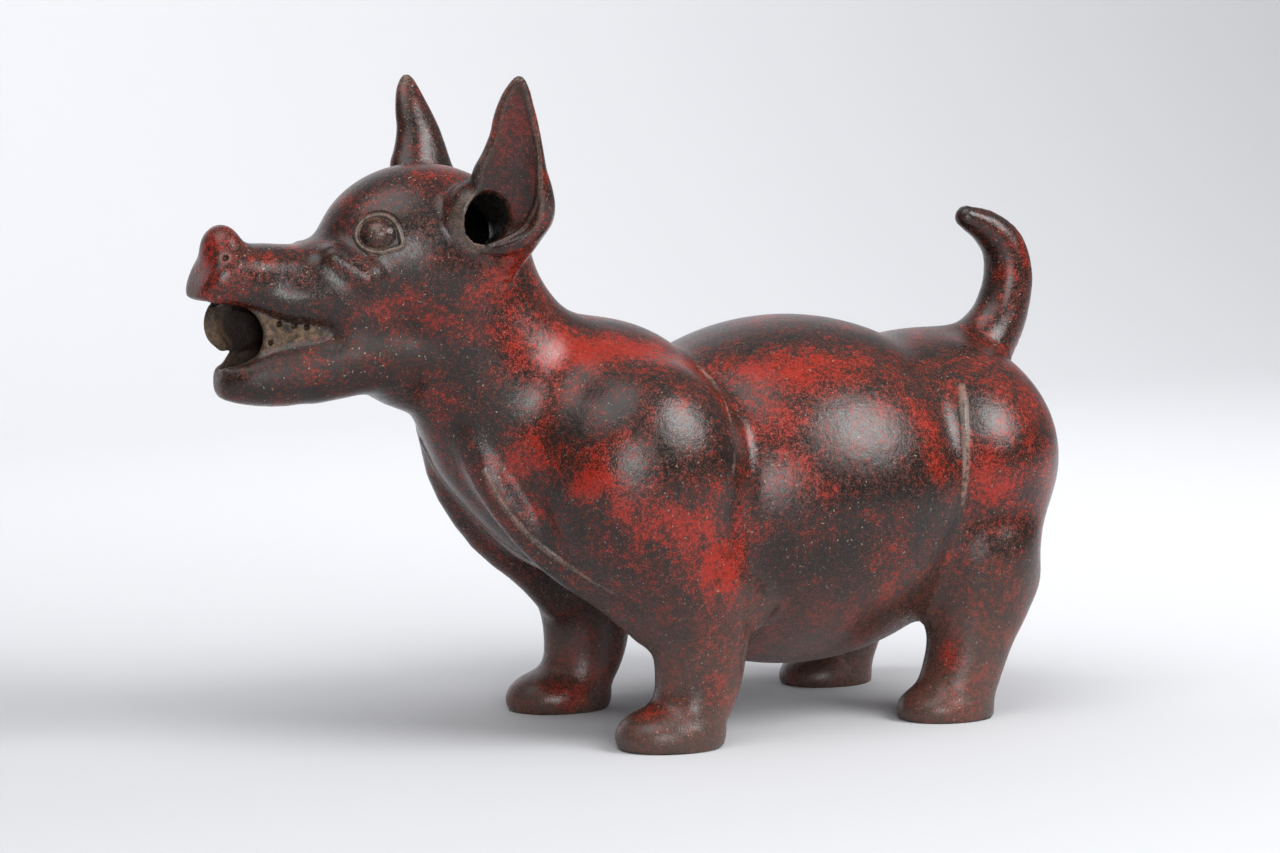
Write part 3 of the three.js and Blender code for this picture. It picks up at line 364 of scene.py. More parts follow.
# %% Fore leg and hind leg
FORELEG = column(
    [
        (-8, -9, 51, 14, 15.5),
        (6, -7.5, 51, 15.5, 16.5),
        (16, -3, 51, 17.5, 17),
        (26, 0, 51, 18.7, 17),
        (42, 0.5, 51, 21, 18.5),
        (56, -2, 50, 26, 21.5),
        (72, -7, 48, 32, 25),
        (90, -12, 45, 33, 24),
        (108, -15, 42, 20, 14),
    ],
    rounding=10,
)
HINDLEG = column(
    [
        (-8, 131, 50, 17, 16),
        (6, 130.5, 50, 17.5, 16),
        (16, 133, 50, 18.3, 16.5),
        (31, 138, 50, 19.5, 17.5),
        (46, 142.5, 49, 24, 20),
        (60, 144, 48, 26, 23.5),
        (78, 145, 45, 29, 26),
        (94, 147, 42, 28, 22),
        (110, 148, 40, 16, 12),
    ],
    rounding=10,
)
print("legs reach", round(FORELEG.reach), "and", round(HINDLEG.reach), "mm from their middles")

# %% [markdown]
# ## The jaws
#
# Muzzle and lower jaw are upright ovals strung along the head, a little boxy because the potter
# pressed them flat between two fingers. They run on into the skull, so that no end shows.

# %% Muzzle and jaw
MUZZLE = loaf(
    [
        (-208, 200.5, 10, 11),
        (-200, 200.5, 12, 14.5),
        (-188, 200, 13.5, 16.5),
        (-175, 198, 15.6, 17.5),
        (-161, 196, 17, 19.5),
        (-154, 195, 19.5, 21.5),
        (-146, 194, 22, 24),
        (-135, 195, 24, 26),
        (-118, 200, 24, 24),
    ]
)
JAW = loaf(
    [
        (-195, 158, 6.6, 7.2),
        (-187, 158.5, 9.5, 13),
        (-178, 159.7, 12.2, 16.5),
        (-168, 160.8, 13.8, 18.5),
        (-160, 162, 14.5, 20),
        (-154, 163, 15.5, 21),
        (-146, 165, 16.5, 22.5),
        (-130, 166, 16, 23),
        (-118, 164, 19.5, 21),
        (-103, 160, 21, 15),
    ]
)
print("muzzle reaches", round(MUZZLE.reach), "mm and the jaw", round(JAW.reach), "mm")

# %% [markdown]
# ## The lips
#
# The lips are lines of height over x. Lips cut by a plane would be straight. The real upper one
# comes down towards the corner of the mouth, and the lower one rises to meet it.

# %% Upper and lower lip
UPPER_LIP = between(
    [
        (-212, 195.5),
        (-205, 192.3),
        (-199, 190.6),
        (-190, 189.6),
        (-181, 187.4),
        (-172, 184.6),
        (-164, 181.6),
        (-159.5, 178),
        (-155, 170),
        (-149, 150),
    ]
)
LOWER_LIP = between(
    [
        (-202, 161.5),
        (-193, 162.3),
        (-187, 163.9),
        (-180, 167.3),
        (-172, 170.6),
        (-164, 173),
        (-159, 175),
        (-154, 184),
        (-148, 204),
    ]
)
mouth_front = np.array([-199.0])
opening = UPPER_LIP(mouth_front) - LOWER_LIP(mouth_front)
print("the mouth is open by", round(float(opening[0, 0]), 1), "mm in front")

# %% [markdown]
# ## The mouth
#
# Between the jaws there is a thin wall of clay on each side, the cheek web, round the hollow of
# the mouth. Both are strings of ovals, one just inside the other, and what is left is the wall.

# %% Web and gape
WEB = loaf(
    [
        (-204, 178, 12.5, 8.8),
        (-196, 177.5, 13.8, 9.3),
        (-185, 177, 16, 10.8),
        (-170, 176, 16, 12.8),
        (-158, 175, 16, 15.8),
        (-148, 174, 14, 17),
    ],
    power=2.6,
)
GAPE = loaf(
    [
        (-212, 178, 10, 7.5),
        (-196, 178, 14.5, 6.5),
        (-190, 177, 15, 6.8),
        (-184, 175.5, 17, 7.4),
        (-170, 175, 17.5, 9),
        (-158, 176, 17, 11),
        (-145, 178, 18, 13.5),
        (-125, 188, 22, 18),
    ]
)
print("mouth hollow reaches", round(GAPE.reach), "mm, the web", round(WEB.reach), "mm")

# %% [markdown]
# ## Tail and chest ridges
#
# The tail is a roll of clay that was bent while wet, and a ridge like a thin coil runs down each
# side of the chest. Both are a ball swept along a curve, with its radius changing on the way.

# %% Tail and ridge
TAIL = tube(
    [
        (150, 0, 148, 17),
        (172, 0, 155, 15.5),
        (184, 0, 167, 13),
        (189.5, 0, 180, 11.7),
        (191, 0, 191, 11),
        (188, 0, 203, 9.8),
        (179, 0, 211.5, 7.8),
        (168, 0, 216.5, 5.2),
    ],
    count=24,
)
CHEST_RIDGE = tube(
    [
        (-90, 18, 132, 6),
        (-80, 24, 109, 8),
        (-59, 30, 84, 9),
        (-35, 36, 66, 9),
        (-18, 42, 52, 10),
    ],
    count=10,
)
print("tail reaches", round(TAIL.reach), "mm and a ridge", round(CHEST_RIDGE.reach), "mm")

# %% [markdown]
# ## The ears
#
# An ear is a leaf of clay, a stack of thin ovals. They are turned by 15 degrees, so that the ear
# looks forwards and out. A swelling at its root joins it to the skull.

# %% Ear
EAR_TURN = 15
EAR = column(
    [
        (198, -80, 29, 3, 4),
        (206, -79, 32, 7.5, 8.5),
        (214, -78.4, 35, 11.4, 11.3),
        (221, -77.9, 37.2, 14.6, 12.2),
        (228, -79, 39, 16, 12),
        (236, -81.7, 40.7, 16.4, 11),
        (243, -83.5, 42.3, 15.2, 9.8),
        (250, -83, 44, 12.7, 8.6),
        (258, -83, 46, 10.3, 7.4),
        (264, -83.9, 47.8, 9, 6.4),
        (270, -84.7, 49.8, 7.2, 5.3),
        (275, -85, 51.7, 5.3, 4.2),
        (279, -84.9, 52.9, 3, 2.8),
        (281, -84.9, 53.3, 1.2, 1.2),
    ],
    turn=EAR_TURN,
)
EAR_ROOT = ellipsoid((-90.5, 31, 225), (16.5, 13.5, 15.5))
print("ear reaches", round(EAR.reach), "mm")

# %% [markdown]
# ## The ear cups
#
# The cup was pressed into the leaf with a thumb. It is a second, smaller stack that is taken out
# of the first, and a roll of clay runs round its lower rim.

# %% Cup and roll
EAR_ROLL = tube(
    [
        (-69.5, 45, 234, 2.4),
        (-69.3, 44.6, 227, 3.4),
        (-72.6, 44, 220, 4),
        (-79.5, 42.5, 214, 4),
        (-86.5, 39.5, 211.6, 3.4),
        (-93.5, 36, 211.4, 1.8),
    ],
    count=14,
)
EAR_CUP = column(
    [
        (211, -90.5, 43, 4, 4),
        (213.5, -90.3, 44, 6.6, 5.5),
        (217, -89.4, 45.5, 10.5, 7.2),
        (221, -88.6, 46.5, 12.7, 8),
        (228, -88.4, 47.5, 13.9, 8),
        (236, -88.3, 48.7, 13.5, 7.5),
        (243, -87.7, 50, 12.5, 6.8),
        (250, -86.3, 51, 11.2, 5.8),
        (258, -85.4, 53.4, 9.5, 5.9),
        (264, -85.8, 54.2, 8.3, 4.8),
        (270, -85.8, 55.1, 6.1, 3.9),
        (275, -85.6, 55.9, 4.1, 2.7),
        (278, -85.2, 56, 1.5, 1.6),
    ],
    turn=EAR_TURN,
)
print("ear cup reaches", round(EAR_CUP.reach), "mm")

# %% [markdown]
# ## The place of the eyes
#
# Each eye lies on the round of the skull, so it has axes of its own: along the eye, up it, and out
# of it. They are the CAD part's axes, turned by 34 degrees and tilted by 19.

# %% Eye axes
EYE_CENTRE = np.array([-134, 23.9, 217.6])
EYE_TURN, EYE_TILT = math.radians(34), math.radians(19)
EYE_ALONG = np.array([math.cos(EYE_TURN), math.sin(EYE_TURN), 0])
EYE_LEVEL = np.array([-math.sin(EYE_TURN), math.cos(EYE_TURN), 0])
EYE_OUT = EYE_LEVEL * math.cos(EYE_TILT) + [0, 0, math.sin(EYE_TILT)]
EYE_UP = [0, 0, math.cos(EYE_TILT)] - EYE_LEVEL * math.sin(EYE_TILT)
print("the eye looks along", np.round(EYE_OUT, 2))

# %% [markdown]
# ## The trunk
#
# The trunk is what the potter's hollow follows, one wall inside the outside: body, legs, neck and
# skull. Each joint has its own width, because the neck runs out broadly on to the chest while the
# rump meets the barrel in a short fillet.

# %% Trunk
def mirrored(p):
    """The same points on the side that the tables describe."""
    return p * [1, 0, 1] + np.abs(p) * [0, 1, 0]


def trunk(p):
    """Barrel, rump, chest, shoulders, legs, neck and skull run together."""
    m = mirrored(p)
    f = BARREL.at(p)
    for part, width, q in [
        (RUMP, 9, p),
        (CHEST, 9, p),
        (SHOULDER, 12, m),
        (FORELEG, 15, m),
        (HINDLEG, 14, m),
        (NECK, 24, p),
        (SKULL, 14, p),
    ]:
        f = add(f, part, width, q)
    return f


middle_of_back = np.array([[72, 0, 176.0]])
print("the trunk's distance at the top of the back:", round(float(trunk(middle_of_back)[0]), 2))

# %% [markdown]
# ## Snout, chin and cheek web
#
# Each of these is a loaf with something cut off: the snout by a slanting plane and by the upper
# lip, the chin by the lower lip, the web by a round notch. A cut is a rounded maximum, so its
# edge is worn like the real one.

# %% Snout, chin and web
SNOUT_PLACE, SNOUT_WAY = (-203.8, 199), (-0.902, 0.431)  # the slanting plane in x and z
NOTCH_X, NOTCH_Z, NOTCH_RADIUS = -192, 176.8, 13.5
FLAP_X, FLAP_Z, FLAP_RADIUS = -184, 181, 11.5
FLAP_EDGE, FLAP_LEAN = 355, 0.707  # height less x along its slanting edge, and that in distance
LIP_LEAN = 0.92  # distance to a sloping lip over the height above it


def snout(p):
    """The muzzle, cut off by a slanting plane that leans back towards the nose."""
    ahead, above = p[:, 0] - SNOUT_PLACE[0], p[:, 2] - SNOUT_PLACE[1]
    front = ahead * SNOUT_WAY[0] + above * SNOUT_WAY[1]
    lip = UPPER_LIP(p[:, 0])[:, 0] - p[:, 2]
    return soft_cut(soft_cut(MUZZLE.at(p), front, 8), lip * LIP_LEAN, 1.6)


def chin(p):
    """The lower jaw, with its lip cut along a line that rises to the corner of the mouth. The cut
    slopes down outwards."""
    lip = p[:, 2] - LOWER_LIP(p[:, 0])[:, 0] + 0.3 * (np.maximum(np.abs(p[:, 1]), 8) - 14)
    return soft_cut(JAW.at(p), lip * LIP_LEAN, 1.4)


def cheek_web(p):
    """The clay between the jaws. On the left a round notch ends it in front: its distance is that
    to a circle carried on forwards. On the right it keeps a round flap above a slanting edge."""
    x, z = p[:, 0], p[:, 2]
    notch = NOTCH_RADIUS - np.hypot(np.maximum(x - NOTCH_X, 0), z - NOTCH_Z)
    flap = np.hypot(x - FLAP_X, z - FLAP_Z) - FLAP_RADIUS
    flap = np.minimum(flap, (z - x - FLAP_EDGE) * FLAP_LEAN)
    return soft_cut(WEB.at(p), np.where(p[:, 1] > 0, flap, notch), 1.5)


SNOUT = Feature(snout, MUZZLE.centre, MUZZLE.reach)
CHIN = Feature(chin, JAW.centre, JAW.reach)
CHEEK_WEB = Feature(cheek_web, WEB.centre, WEB.reach)
FLAP = tube(
    [
        (-188.5, 8.6, 190, 2.4),
        (-192.6, 8.6, 186.5, 2.7),
        (-194, 8.4, 181, 2.9),
        (-193, 8.2, 176, 2.7),
        (-189.5, 7.8, 172, 2.2),
    ],
    count=12,
)
EAR_BORE = limb((-91, 50, 226.5), (-95, 14, 217), (10, 10))
print("snout and chin reach", round(SNOUT.reach), "and", round(CHIN.reach), "mm")

# %% [markdown]
# ## Head, outside and hollow
#
# The order counts: the jaws are run together first, then the mouth is taken out of them, then the
# ears are added and their cups and bores taken out. The hollow is the trunk once more, one wall
# further in, and stops above the solid feet.

# %% Outside and bored clay
WALL = 6.5
LEG_FILL = 30  # height up to which the legs are solid clay
HEAD_BACK, HEAD_FOOT = -50, 115  # x and z that no form of the head passes


def head(f, p):
    """Adds snout, jaw, cheeks and ears to the distance f, and takes out the mouth and the cups of
    the ears."""
    m = mirrored(p)
    for part, width, q in [
        (SNOUT, 9, p),
        (CHEEK, 8, m),
        (CHEEKBONE, 11, m),
        (NOSE, 8, p),
        (CHIN, 5, p),
        (JOWL, 9, m),
        (MOUTH_CORNER, 8, m),
        (CHEEK_WEB, 1.6, p),
    ]:
        f = add(f, part, width, q)
    f = take(f, GAPE, 2, p)
    f = add(f, FLAP, 2, p)
    f = add(f, EAR, 5, m)
    f = add(f, EAR_ROOT, 7, m)
    f = take(f, EAR_CUP, 1.6, m)
    return add(f, EAR_ROLL, 2.5, m)


def outside(p, body=None):
    """The outside of the clay: the trunk with every outer form, and flat soles at z = 0."""
    m = mirrored(p)
    f = trunk(p) if body is None else body
    for part, width, q in [
        (CHEST_RIDGE, 10, m),
        (ELBOW, 8, m),
        (HOCK, 8, m),
        (FOREFOOT, 8, m),
        (HINDFOOT, 8, m),
        (TAIL, 9, p),
    ]:
        f = add(f, part, width, q)
    fore = (p[:, 0] < HEAD_BACK) & (p[:, 2] > HEAD_FOOT)
    f[fore] = head(f[fore], p[fore])
    return soft_cut(f, -p[:, 2], 1.6)


def bored(p):
    """The outside, less the hollow one wall inside the trunk and the bores of the ears."""
    body = trunk(p)
    hollow = soft_cut(body + WALL, LEG_FILL - p[:, 2], 4)
    f = outside(p, body)
    f = take(f, EAR_BORE, 2.4, mirrored(p))
    return soft_cut(f, -hollow, 2)


in_wall = middle_of_back - [0, 0, WALL / 2]
print("distance in the middle of the back's wall:", round(float(bored(in_wall)[0]), 1), "mm")

# %% [markdown]
# ## Tooth holes and nostrils
#
# Four small holes were punched into each cheek web with a stick, and two into the nose. Painted
# dots would stay dark from every side, so they are real pits. Where a hole starts is found by
# stepping outwards from the middle until the clay ends.

# %% Small pits
TOOTH_PLACES = [(-172.6, 181.4), (-166.6, 180.6), (-161.8, 179.7), (-176.3, 174)]
TOOTH_RADIUS, TOOTH_END = 1.2, 1.4  # the last ball's radius and its middle below the face
NOSTRIL_RADIUS = 1.3
OUT_FROM_MIDDLE = np.arange(0, 24, 0.05)
PITS = []
for side in (-1, 1):
    for x, z in TOOTH_PLACES:
        still = OUT_FROM_MIDDLE * 0
        line = np.column_stack([still + x, side * OUT_FROM_MIDDLE, still + z])
        face = OUT_FROM_MIDDLE[bored(line) < 0].max()
        start, end = (x, side * (face + 1), z), (x, side * (face - TOOTH_END), z)
        PITS.append(limb(start, end, (TOOTH_RADIUS, TOOTH_RADIUS)))
    start, end = (-196.6, side * 13, 209.1), (-195.4, side * 11.6, 208.6)
    PITS.append(limb(start, end, (NOSTRIL_RADIUS, NOSTRIL_RADIUS)))
print("tooth holes and nostrils:", len(PITS))

# %% [markdown]
# ## Eyes in relief
#
# On top of the big forms the potter worked finer ones, such as a rolled lid round each eye. A
# relief like that could be a bump map, but then the outline and the exported mesh would stay
# smooth. Here it is a height in millimetres that is taken off the distance, so the skin moves.

# %% Lid and eyeball
ALMOND = (10.1, 8.8)  # half length and half height of the eye's outline
BALL_PLACE, BALL_SIZE, BALL_RISE = (-0.4, 0.2), (7.6, 6.4), 4.0


def round_eye(p):
    """Place over the cheek round an eye: along it, up it and out of it, the angle in degrees and
    the distance s from the almond outline, positive outside."""
    q = mirrored(p) - EYE_CENTRE
    a, u, off = q @ EYE_ALONG, q @ EYE_UP, q @ EYE_OUT
    way = np.arctan2(u, a)
    turn = np.degrees(way)
    oval = 1 / np.hypot(np.cos(way) / ALMOND[0], np.sin(way) / ALMOND[1])
    corner = 1.9 * np.exp(-(((turn + 26) / 16) ** 2)) - 0.7 * np.exp(-(((turn - 25) / 35) ** 2))
    return a, u, off, turn, np.hypot(a, u) - oval - corner


def eye_relief(p):
    """Height over the cheek: the lid is a bump at s = -0.9 with a sunk room inside it, the ball a
    dome to the power 0.7, and the brow line a faint groove above the lid."""
    a, u, off, turn, s = round_eye(p)
    above = smooth(turn, 5, 30) * (1 - smooth(turn, 150, 172))
    height = 1.25 * bump(s + 0.9, 1.1) - 0.9 * (1 - smooth(s, -2.5, -1.5))
    height += above * (0.25 * bump(s - 1.5, 1.2) - 0.25 * bump(s - 0.4, 0.7))
    dome = ((a - BALL_PLACE[0]) / BALL_SIZE[0]) ** 2 + ((u - BALL_PLACE[1]) / BALL_SIZE[1]) ** 2
    height += BALL_RISE * np.clip(1 - dome, 0, 1) ** 0.7
    return np.where(np.abs(off) < 10, height, 0)


EYE_PATCH = Feature(eye_relief, EYE_CENTRE, 15)
at_eye = (EYE_CENTRE * [1, -1, 1])[None]
print("the middle of the eye stands", round(float(eye_relief(at_eye)[0]), 1), "mm over the cheek")

# %% [markdown]
# ## Modelled lines
#
# A cord runs along the rim of each ear, and thin ridges behind the shoulder, in front of the haunch
# and on the chest. Each is drawn through a few places read off the photograph, then laid on the
# clay, because a line that is off the surface by a millimetre would fade in and out.

# %% Rim cords and ridges
def cord(points, count):
    """A curve laid on the clay: its points are settled on the bored skin before it is swept."""
    laid = settle(np.array(points, float), bored, 8, most=4)
    return tube(np.column_stack([laid, np.zeros(len(laid))]), count)


RIM = cord(
    [
        (-84, 55, 277),
        (-78, 52, 261),
        (-75, 52, 247),
        (-75, 50, 233),
        (-77, 47, 225),
        (-81, 44, 219),
        (-92, 40, 213),
    ],
    count=27,
)
SHOULDER_LINE = cord([(14, -27, 157), (15, -38, 150), (10, -57, 143), (6, -70, 118)], count=21)
HAUNCH_LINE = cord([(131, -53, 146), (126, -62, 132), (124, -67, 115), (122, -67, 97)], count=18)
CHEST_LINE = cord([(-89, -28, 119), (-82, -32, 104), (-66, -37, 86), (-40, -50, 67)], count=24)
BREAST_LINE = cord([(-97, 16, 128), (-90, 9, 111), (-73, 4, 91), (-57, -7, 77)], count=18)
# A line, its rise, its half width, and whether it is on both sides.
LINES = [
    (SHOULDER_LINE, 0.5, 1.5, True),
    (HAUNCH_LINE, 0.8, 2.0, True),
    (CHEST_LINE, 0.6, 1.5, False),
    (BREAST_LINE, 0.6, 1.5, False),
]
print("lines:", len(LINES), "and the rim of each ear")

# %% [markdown]
# ## The finished distance
#
# The skin is the bored form less all heights. Cords and lids could be run in one by one like the
# big forms, but a height follows the surface that it lies on, whatever that is. The small pits are
# taken out last, so that nothing fills them.

# %% Skin
def line_reliefs(p):
    """Sum of the heights of the rim cords, with a faint groove on both sides, and of the thin
    ridges on the body."""
    height = np.zeros(len(p))
    m = mirrored(p)
    near = away(RIM, m) < 4
    gap = RIM.at(m[near])
    height[near] = 0.55 * bump(gap, 1.3) - 0.15 * bump(gap - 1.7, 0.9)
    for line, rise, width, both in LINES:
        q = m * [1, -1, 1] if both else p
        near = away(line, q) < width
        height[near] += rise * bump(line.at(q[near]), width)
    return height


def skin(p):
    """The bored skin with its finer relief and the small pits."""
    height = line_reliefs(p)
    m = mirrored(p)
    eyes = away(EYE_PATCH, m) < 0
    height[eyes] += eye_relief(p[eyes])
    f = bored(p) - height
    for pit in PITS:
        f = take(f, pit, 0.4, p)
    return f


in_tip = np.array([[168, 0, 216.5]])
print("distance in the middle of the tail's tip:", round(float(skin(in_tip)[0]), 1), "mm")

# %% [markdown]
# ## From solid to skin
#
# The CAD solid is closed and even, but its facets are several millimetres wide. A new mesh could
# be marched out of the distance, at the price of a long wait and an even, costly net. The solid's
# own triangles are a better start: they are cut up until their edges are short enough for the
# place they are in, and every corner is pushed along the slope of the distance on to the clay.

# %% CAD net
SHIFT = np.array([1.485, 0.013, 0])  # from the potter's middle to the middle of the CAD box


def merged_net(obj):
    """Corners of a mesh to the nearest thousandth, each once, and its triangles."""
    mesh = obj.data
    co = np.zeros(len(mesh.vertices) * 3)
    mesh.vertices.foreach_get("co", co)
    mesh.calc_loop_triangles()
    tri = np.zeros(len(mesh.loop_triangles) * 3, dtype=np.int32)
    mesh.loop_triangles.foreach_get("vertices", tri)
    co = np.round(co.reshape(-1, 3) * 1e6).astype(np.int64)
    corners, place = np.unique(co, axis=0, return_inverse=True)
    tri = place.ravel()[tri].reshape(-1, 3)
    keep = (tri[:, 0] != tri[:, 1]) & (tri[:, 1] != tri[:, 2]) & (tri[:, 2] != tri[:, 0])
    return corners / 1e3, tri[keep]


cad_points, cad_faces = merged_net(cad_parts["dog_vessel"])
cad_points = cad_points - SHIFT
print("CAD net:", len(cad_points), "corners,", len(cad_faces), "triangles")

# %% [markdown]
# ## How fine the net is
#
# A net of one size that shows the lid of an eye would have millions of triangles on the body. So
# the longest edge wanted depends on the place: half a millimetre round an eye, 2.7 on the flank.

# %% Wanted edge lengths
FLANK_EDGE, HEAD_EDGE, SOLE_EDGE, FOLD_EDGE, PIT_EDGE = 2.7, 1.8, 1.6, 1.0, 0.45
# Ear, mouth, tip of the nose and eye: the middle and half sizes of an egg, and the edge in it.
FINE_EGGS = [
    ((-86, 46, 238), (24, 22, 50), 1.15),
    ((-178, 0, 178), (36, 26, 20), 0.95),
    ((-196, 0, 205), (16, 16, 16), 1.1),
    (EYE_CENTRE, (14, 14, 12.5), 0.55),
]


def fineness(p):
    """Longest edge wanted at each point, millimetres."""
    m = mirrored(p)
    size = np.full(len(p), FLANK_EDGE)
    size[(p[:, 0] < -60) & (p[:, 2] > 150)] = HEAD_EDGE
    size[p[:, 2] < 3] = SOLE_EDGE
    for middle, half_sizes, edge in FINE_EGGS:
        size[length((m - middle) / half_sizes) < 1] = edge
    fine = [(RIM, 3.2, 0.6, m)]
    for line, _, width, both in LINES:
        fine.append((line, width + 0.8, 0.75, m * [1, -1, 1] if both else p))
    for line, reach, finest, q in fine:
        close = away(line, q) < reach
        close[close] = line.at(q[close]) < reach
        size[close] = np.minimum(size[close], finest)
    for pit in PITS:
        size[away(pit, p) < 0.6] = PIT_EDGE
    by_fold = away(CHEEKBONE, m) < 1
    size[by_fold] = np.minimum(size[by_fold], FOLD_EDGE)
    return size


on_flank = np.array([[70, -78, 99.0]])
print("longest edge, mm: flank", fineness(on_flank)[0], "eye", fineness(at_eye)[0])

# %% [markdown]
# ## Cutting triangles
#
# An edge that is too long gets a new corner in its middle. Both triangles beside it are cut, each
# into two, three or four, by how many of its edges were marked, so no gap can open.

# %% Splitting edges
def edges_of(faces):
    """Each edge once, and for each triangle the numbers of its three edges: edge i joins corner
    i and the next one."""
    ends = np.stack([faces, np.roll(faces, -1, axis=1)], axis=2).reshape(-1, 2)
    ends = np.sort(ends, axis=1)
    key = ends[:, 0].astype(np.int64) * (faces.max() + 1) + ends[:, 1]
    unique, first, place = np.unique(key, return_index=True, return_inverse=True)
    return ends[first], place.reshape(-1, 3)


def split(points, faces, wanted):
    """Puts a corner in the middle of every edge that is marked, and cuts each triangle into two,
    three or four to suit."""
    edges, of_face = edges_of(faces)
    marked = wanted(points, edges)
    fresh = np.cumsum(marked) - 1 + len(points)
    middle = points[edges[marked]].mean(axis=1)
    cut = marked[of_face]
    count = cut.sum(axis=1)
    # Each triangle is turned so that its marked edges come first.
    start = np.argmax(cut & ~np.roll(cut, 1, axis=1), axis=1)
    turn = (start[:, None] + np.arange(3)) % 3
    f = np.take_along_axis(faces, turn, axis=1)
    m = np.take_along_axis(fresh[of_face], turn, axis=1)
    (a, b, c), (ab, bc, ca) = f.T, m.T
    one, two, three = count == 1, count == 2, count == 3

    def pick(rows, *triples):
        return [np.stack([v[rows] for v in t], axis=1) for t in triples]

    parts = [faces[count == 0]]
    parts += pick(one, (a, ab, c), (ab, b, c))
    parts += pick(three, (a, ab, ca), (ab, b, bc), (ca, bc, c), (ab, bc, ca))
    whole = np.vstack([points, middle])
    # With two marked edges the remaining four-sided part is cut by its shorter diagonal.
    short = np.zeros(len(faces), dtype=bool)
    short[two] = length(whole[a[two]] - whole[bc[two]]) < length(whole[ab[two]] - whole[c[two]])
    parts += pick(two, (ab, b, bc))
    parts += pick(two & short, (a, ab, bc), (a, bc, c))
    parts += pick(two & ~short, (a, ab, c), (ab, bc, c))
    return whole, np.concatenate(parts)


print("edges of the CAD net:", len(edges_of(cad_faces)[0]))

# %% [markdown]
# ## Evening out
#
# Cutting alone leaves thin splinters. Sliding each corner along the surface towards the middle of
# its neighbours spaces them evenly. Blender's own remesher would lose the thin rims of the ears.

# %% Sliding corners
def normals_of(points, faces):
    """Twice the area of each triangle along its normal."""
    a, b, c = points[faces[:, 0]], points[faces[:, 1]], points[faces[:, 2]]
    return np.cross(b - a, c - a)


def spread(values, faces, count):
    """Sum over the triangles at each corner."""
    out = np.zeros((count, values.shape[1]))
    for corner in range(3):
        for n in range(values.shape[1]):
            out[:, n] += np.bincount(faces[:, corner], values[:, n], count)
    return out


def corner_normals(points, faces):
    """Mean of the triangles' normals at each corner, each weighted by its area."""
    n = spread(normals_of(points, faces), faces, len(points))
    return n / np.maximum(length(n), 1e-12)[:, None]


def neighbours(points, faces):
    """Middle of the corners that each corner is joined to."""
    total, count = np.zeros_like(points), np.zeros(len(points))
    for c in range(3):
        other = faces[:, (c + 1) % 3]
        for n in range(3):
            total[:, n] += np.bincount(faces[:, c], points[other, n], len(points))
        count += np.bincount(faces[:, c], minlength=len(points))
    return total / np.maximum(count, 1)[:, None]


def slide(points, faces, share=0.5):
    """Moves each corner along the surface towards the middle of its neighbours."""
    move = neighbours(points, faces) - points
    normal = corner_normals(points, faces)
    rise = np.einsum("ij,ij->i", move, normal)
    return points + share * (move - rise[:, None] * normal)


print("area of the CAD net:", round(length(normals_of(cad_points, cad_faces)).sum() / 200), "cm2")

# %% [markdown]
# ## Turning edges
#
# Where two splinters share a long edge, joining their other two corners instead makes two better
# triangles. Sliding can't do that, because it never changes which corners are joined.

# %% Swapping edges
def swap(points, faces):
    """Turns the edge between two triangles where the two angles across it add up to more than a
    half turn, as long as the pair is nearly flat. Each triangle takes part in one swap at most."""
    edges, of_face = edges_of(faces)
    flat = of_face.ravel()
    order = np.argsort(flat, kind="stable")
    pairs = order.reshape(-1, 2)
    one, two = pairs[:, 0], pairs[:, 1]
    f1, f2 = one // 3, two // 3
    c1, c2 = one % 3, two % 3
    a, b = faces[f1, c1], faces[f1, (c1 + 1) % 3]
    p, q = faces[f1, (c1 + 2) % 3], faces[f2, (c2 + 2) % 3]

    def angle(v, s, t):
        u, w = points[s] - points[v], points[t] - points[v]
        cosine = np.einsum("ij,ij->i", u, w) / np.maximum(length(u) * length(w), 1e-12)
        return np.arccos(np.clip(cosine, -1, 1))

    def facing(i, j, k):
        n = np.cross(points[j] - points[i], points[k] - points[i])
        return n / np.maximum(length(n), 1e-12)[:, None]

    gain = angle(p, a, b) + angle(q, a, b) - math.pi
    old1, old2 = facing(a, b, p), facing(b, a, q)
    new1, new2 = facing(a, q, p), facing(q, b, p)
    even = np.einsum("ij,ij->i", old1, old2) > 0.9
    for n in (new1, new2):
        even &= np.einsum("ij,ij->i", n, old1) > 0.85
        even &= np.einsum("ij,ij->i", n, old2) > 0.85
    size = len(points)
    known = np.sort(edges[:, 0].astype(np.int64) * size + edges[:, 1])
    fresh = np.minimum(p, q).astype(np.int64) * size + np.maximum(p, q)
    spot = np.minimum(np.searchsorted(known, fresh), len(known) - 1)
    wanted = (gain > 0.05) & even & (known[spot] != fresh)
    best = np.zeros(len(faces))
    np.maximum.at(best, f1[wanted], gain[wanted])
    np.maximum.at(best, f2[wanted], gain[wanted])
    chosen = wanted & (gain == best[f1]) & (gain == best[f2])
    # Two swaps that would make the same new edge can't both be done.
    _, first = np.unique(np.where(chosen, fresh, -1 - np.arange(len(fresh))), return_index=True)
    only = np.zeros(len(fresh), dtype=bool)
    only[first] = True
    chosen &= only
    out = faces.copy()
    out[f1[chosen]] = np.stack([a, q, p], axis=1)[chosen]
    out[f2[chosen]] = np.stack([q, b, p], axis=1)[chosen]
    return out, int(chosen.sum())


print("edges to turn in the CAD net:", swap(cad_points, cad_faces)[1])

# %% [markdown]
# ## Combing
#
# Where the skin departs from the solid by more than a facet, as at the corner of the mouth, a few
# triangles fold over. A fold shades like a scratch. Folds are found by their direction, and the
# corners round them are drawn together and settled again, up to eight times. That opens nearly all
# of them. Smoothing the whole net would open them too, but it would blunt the lids and the ears.

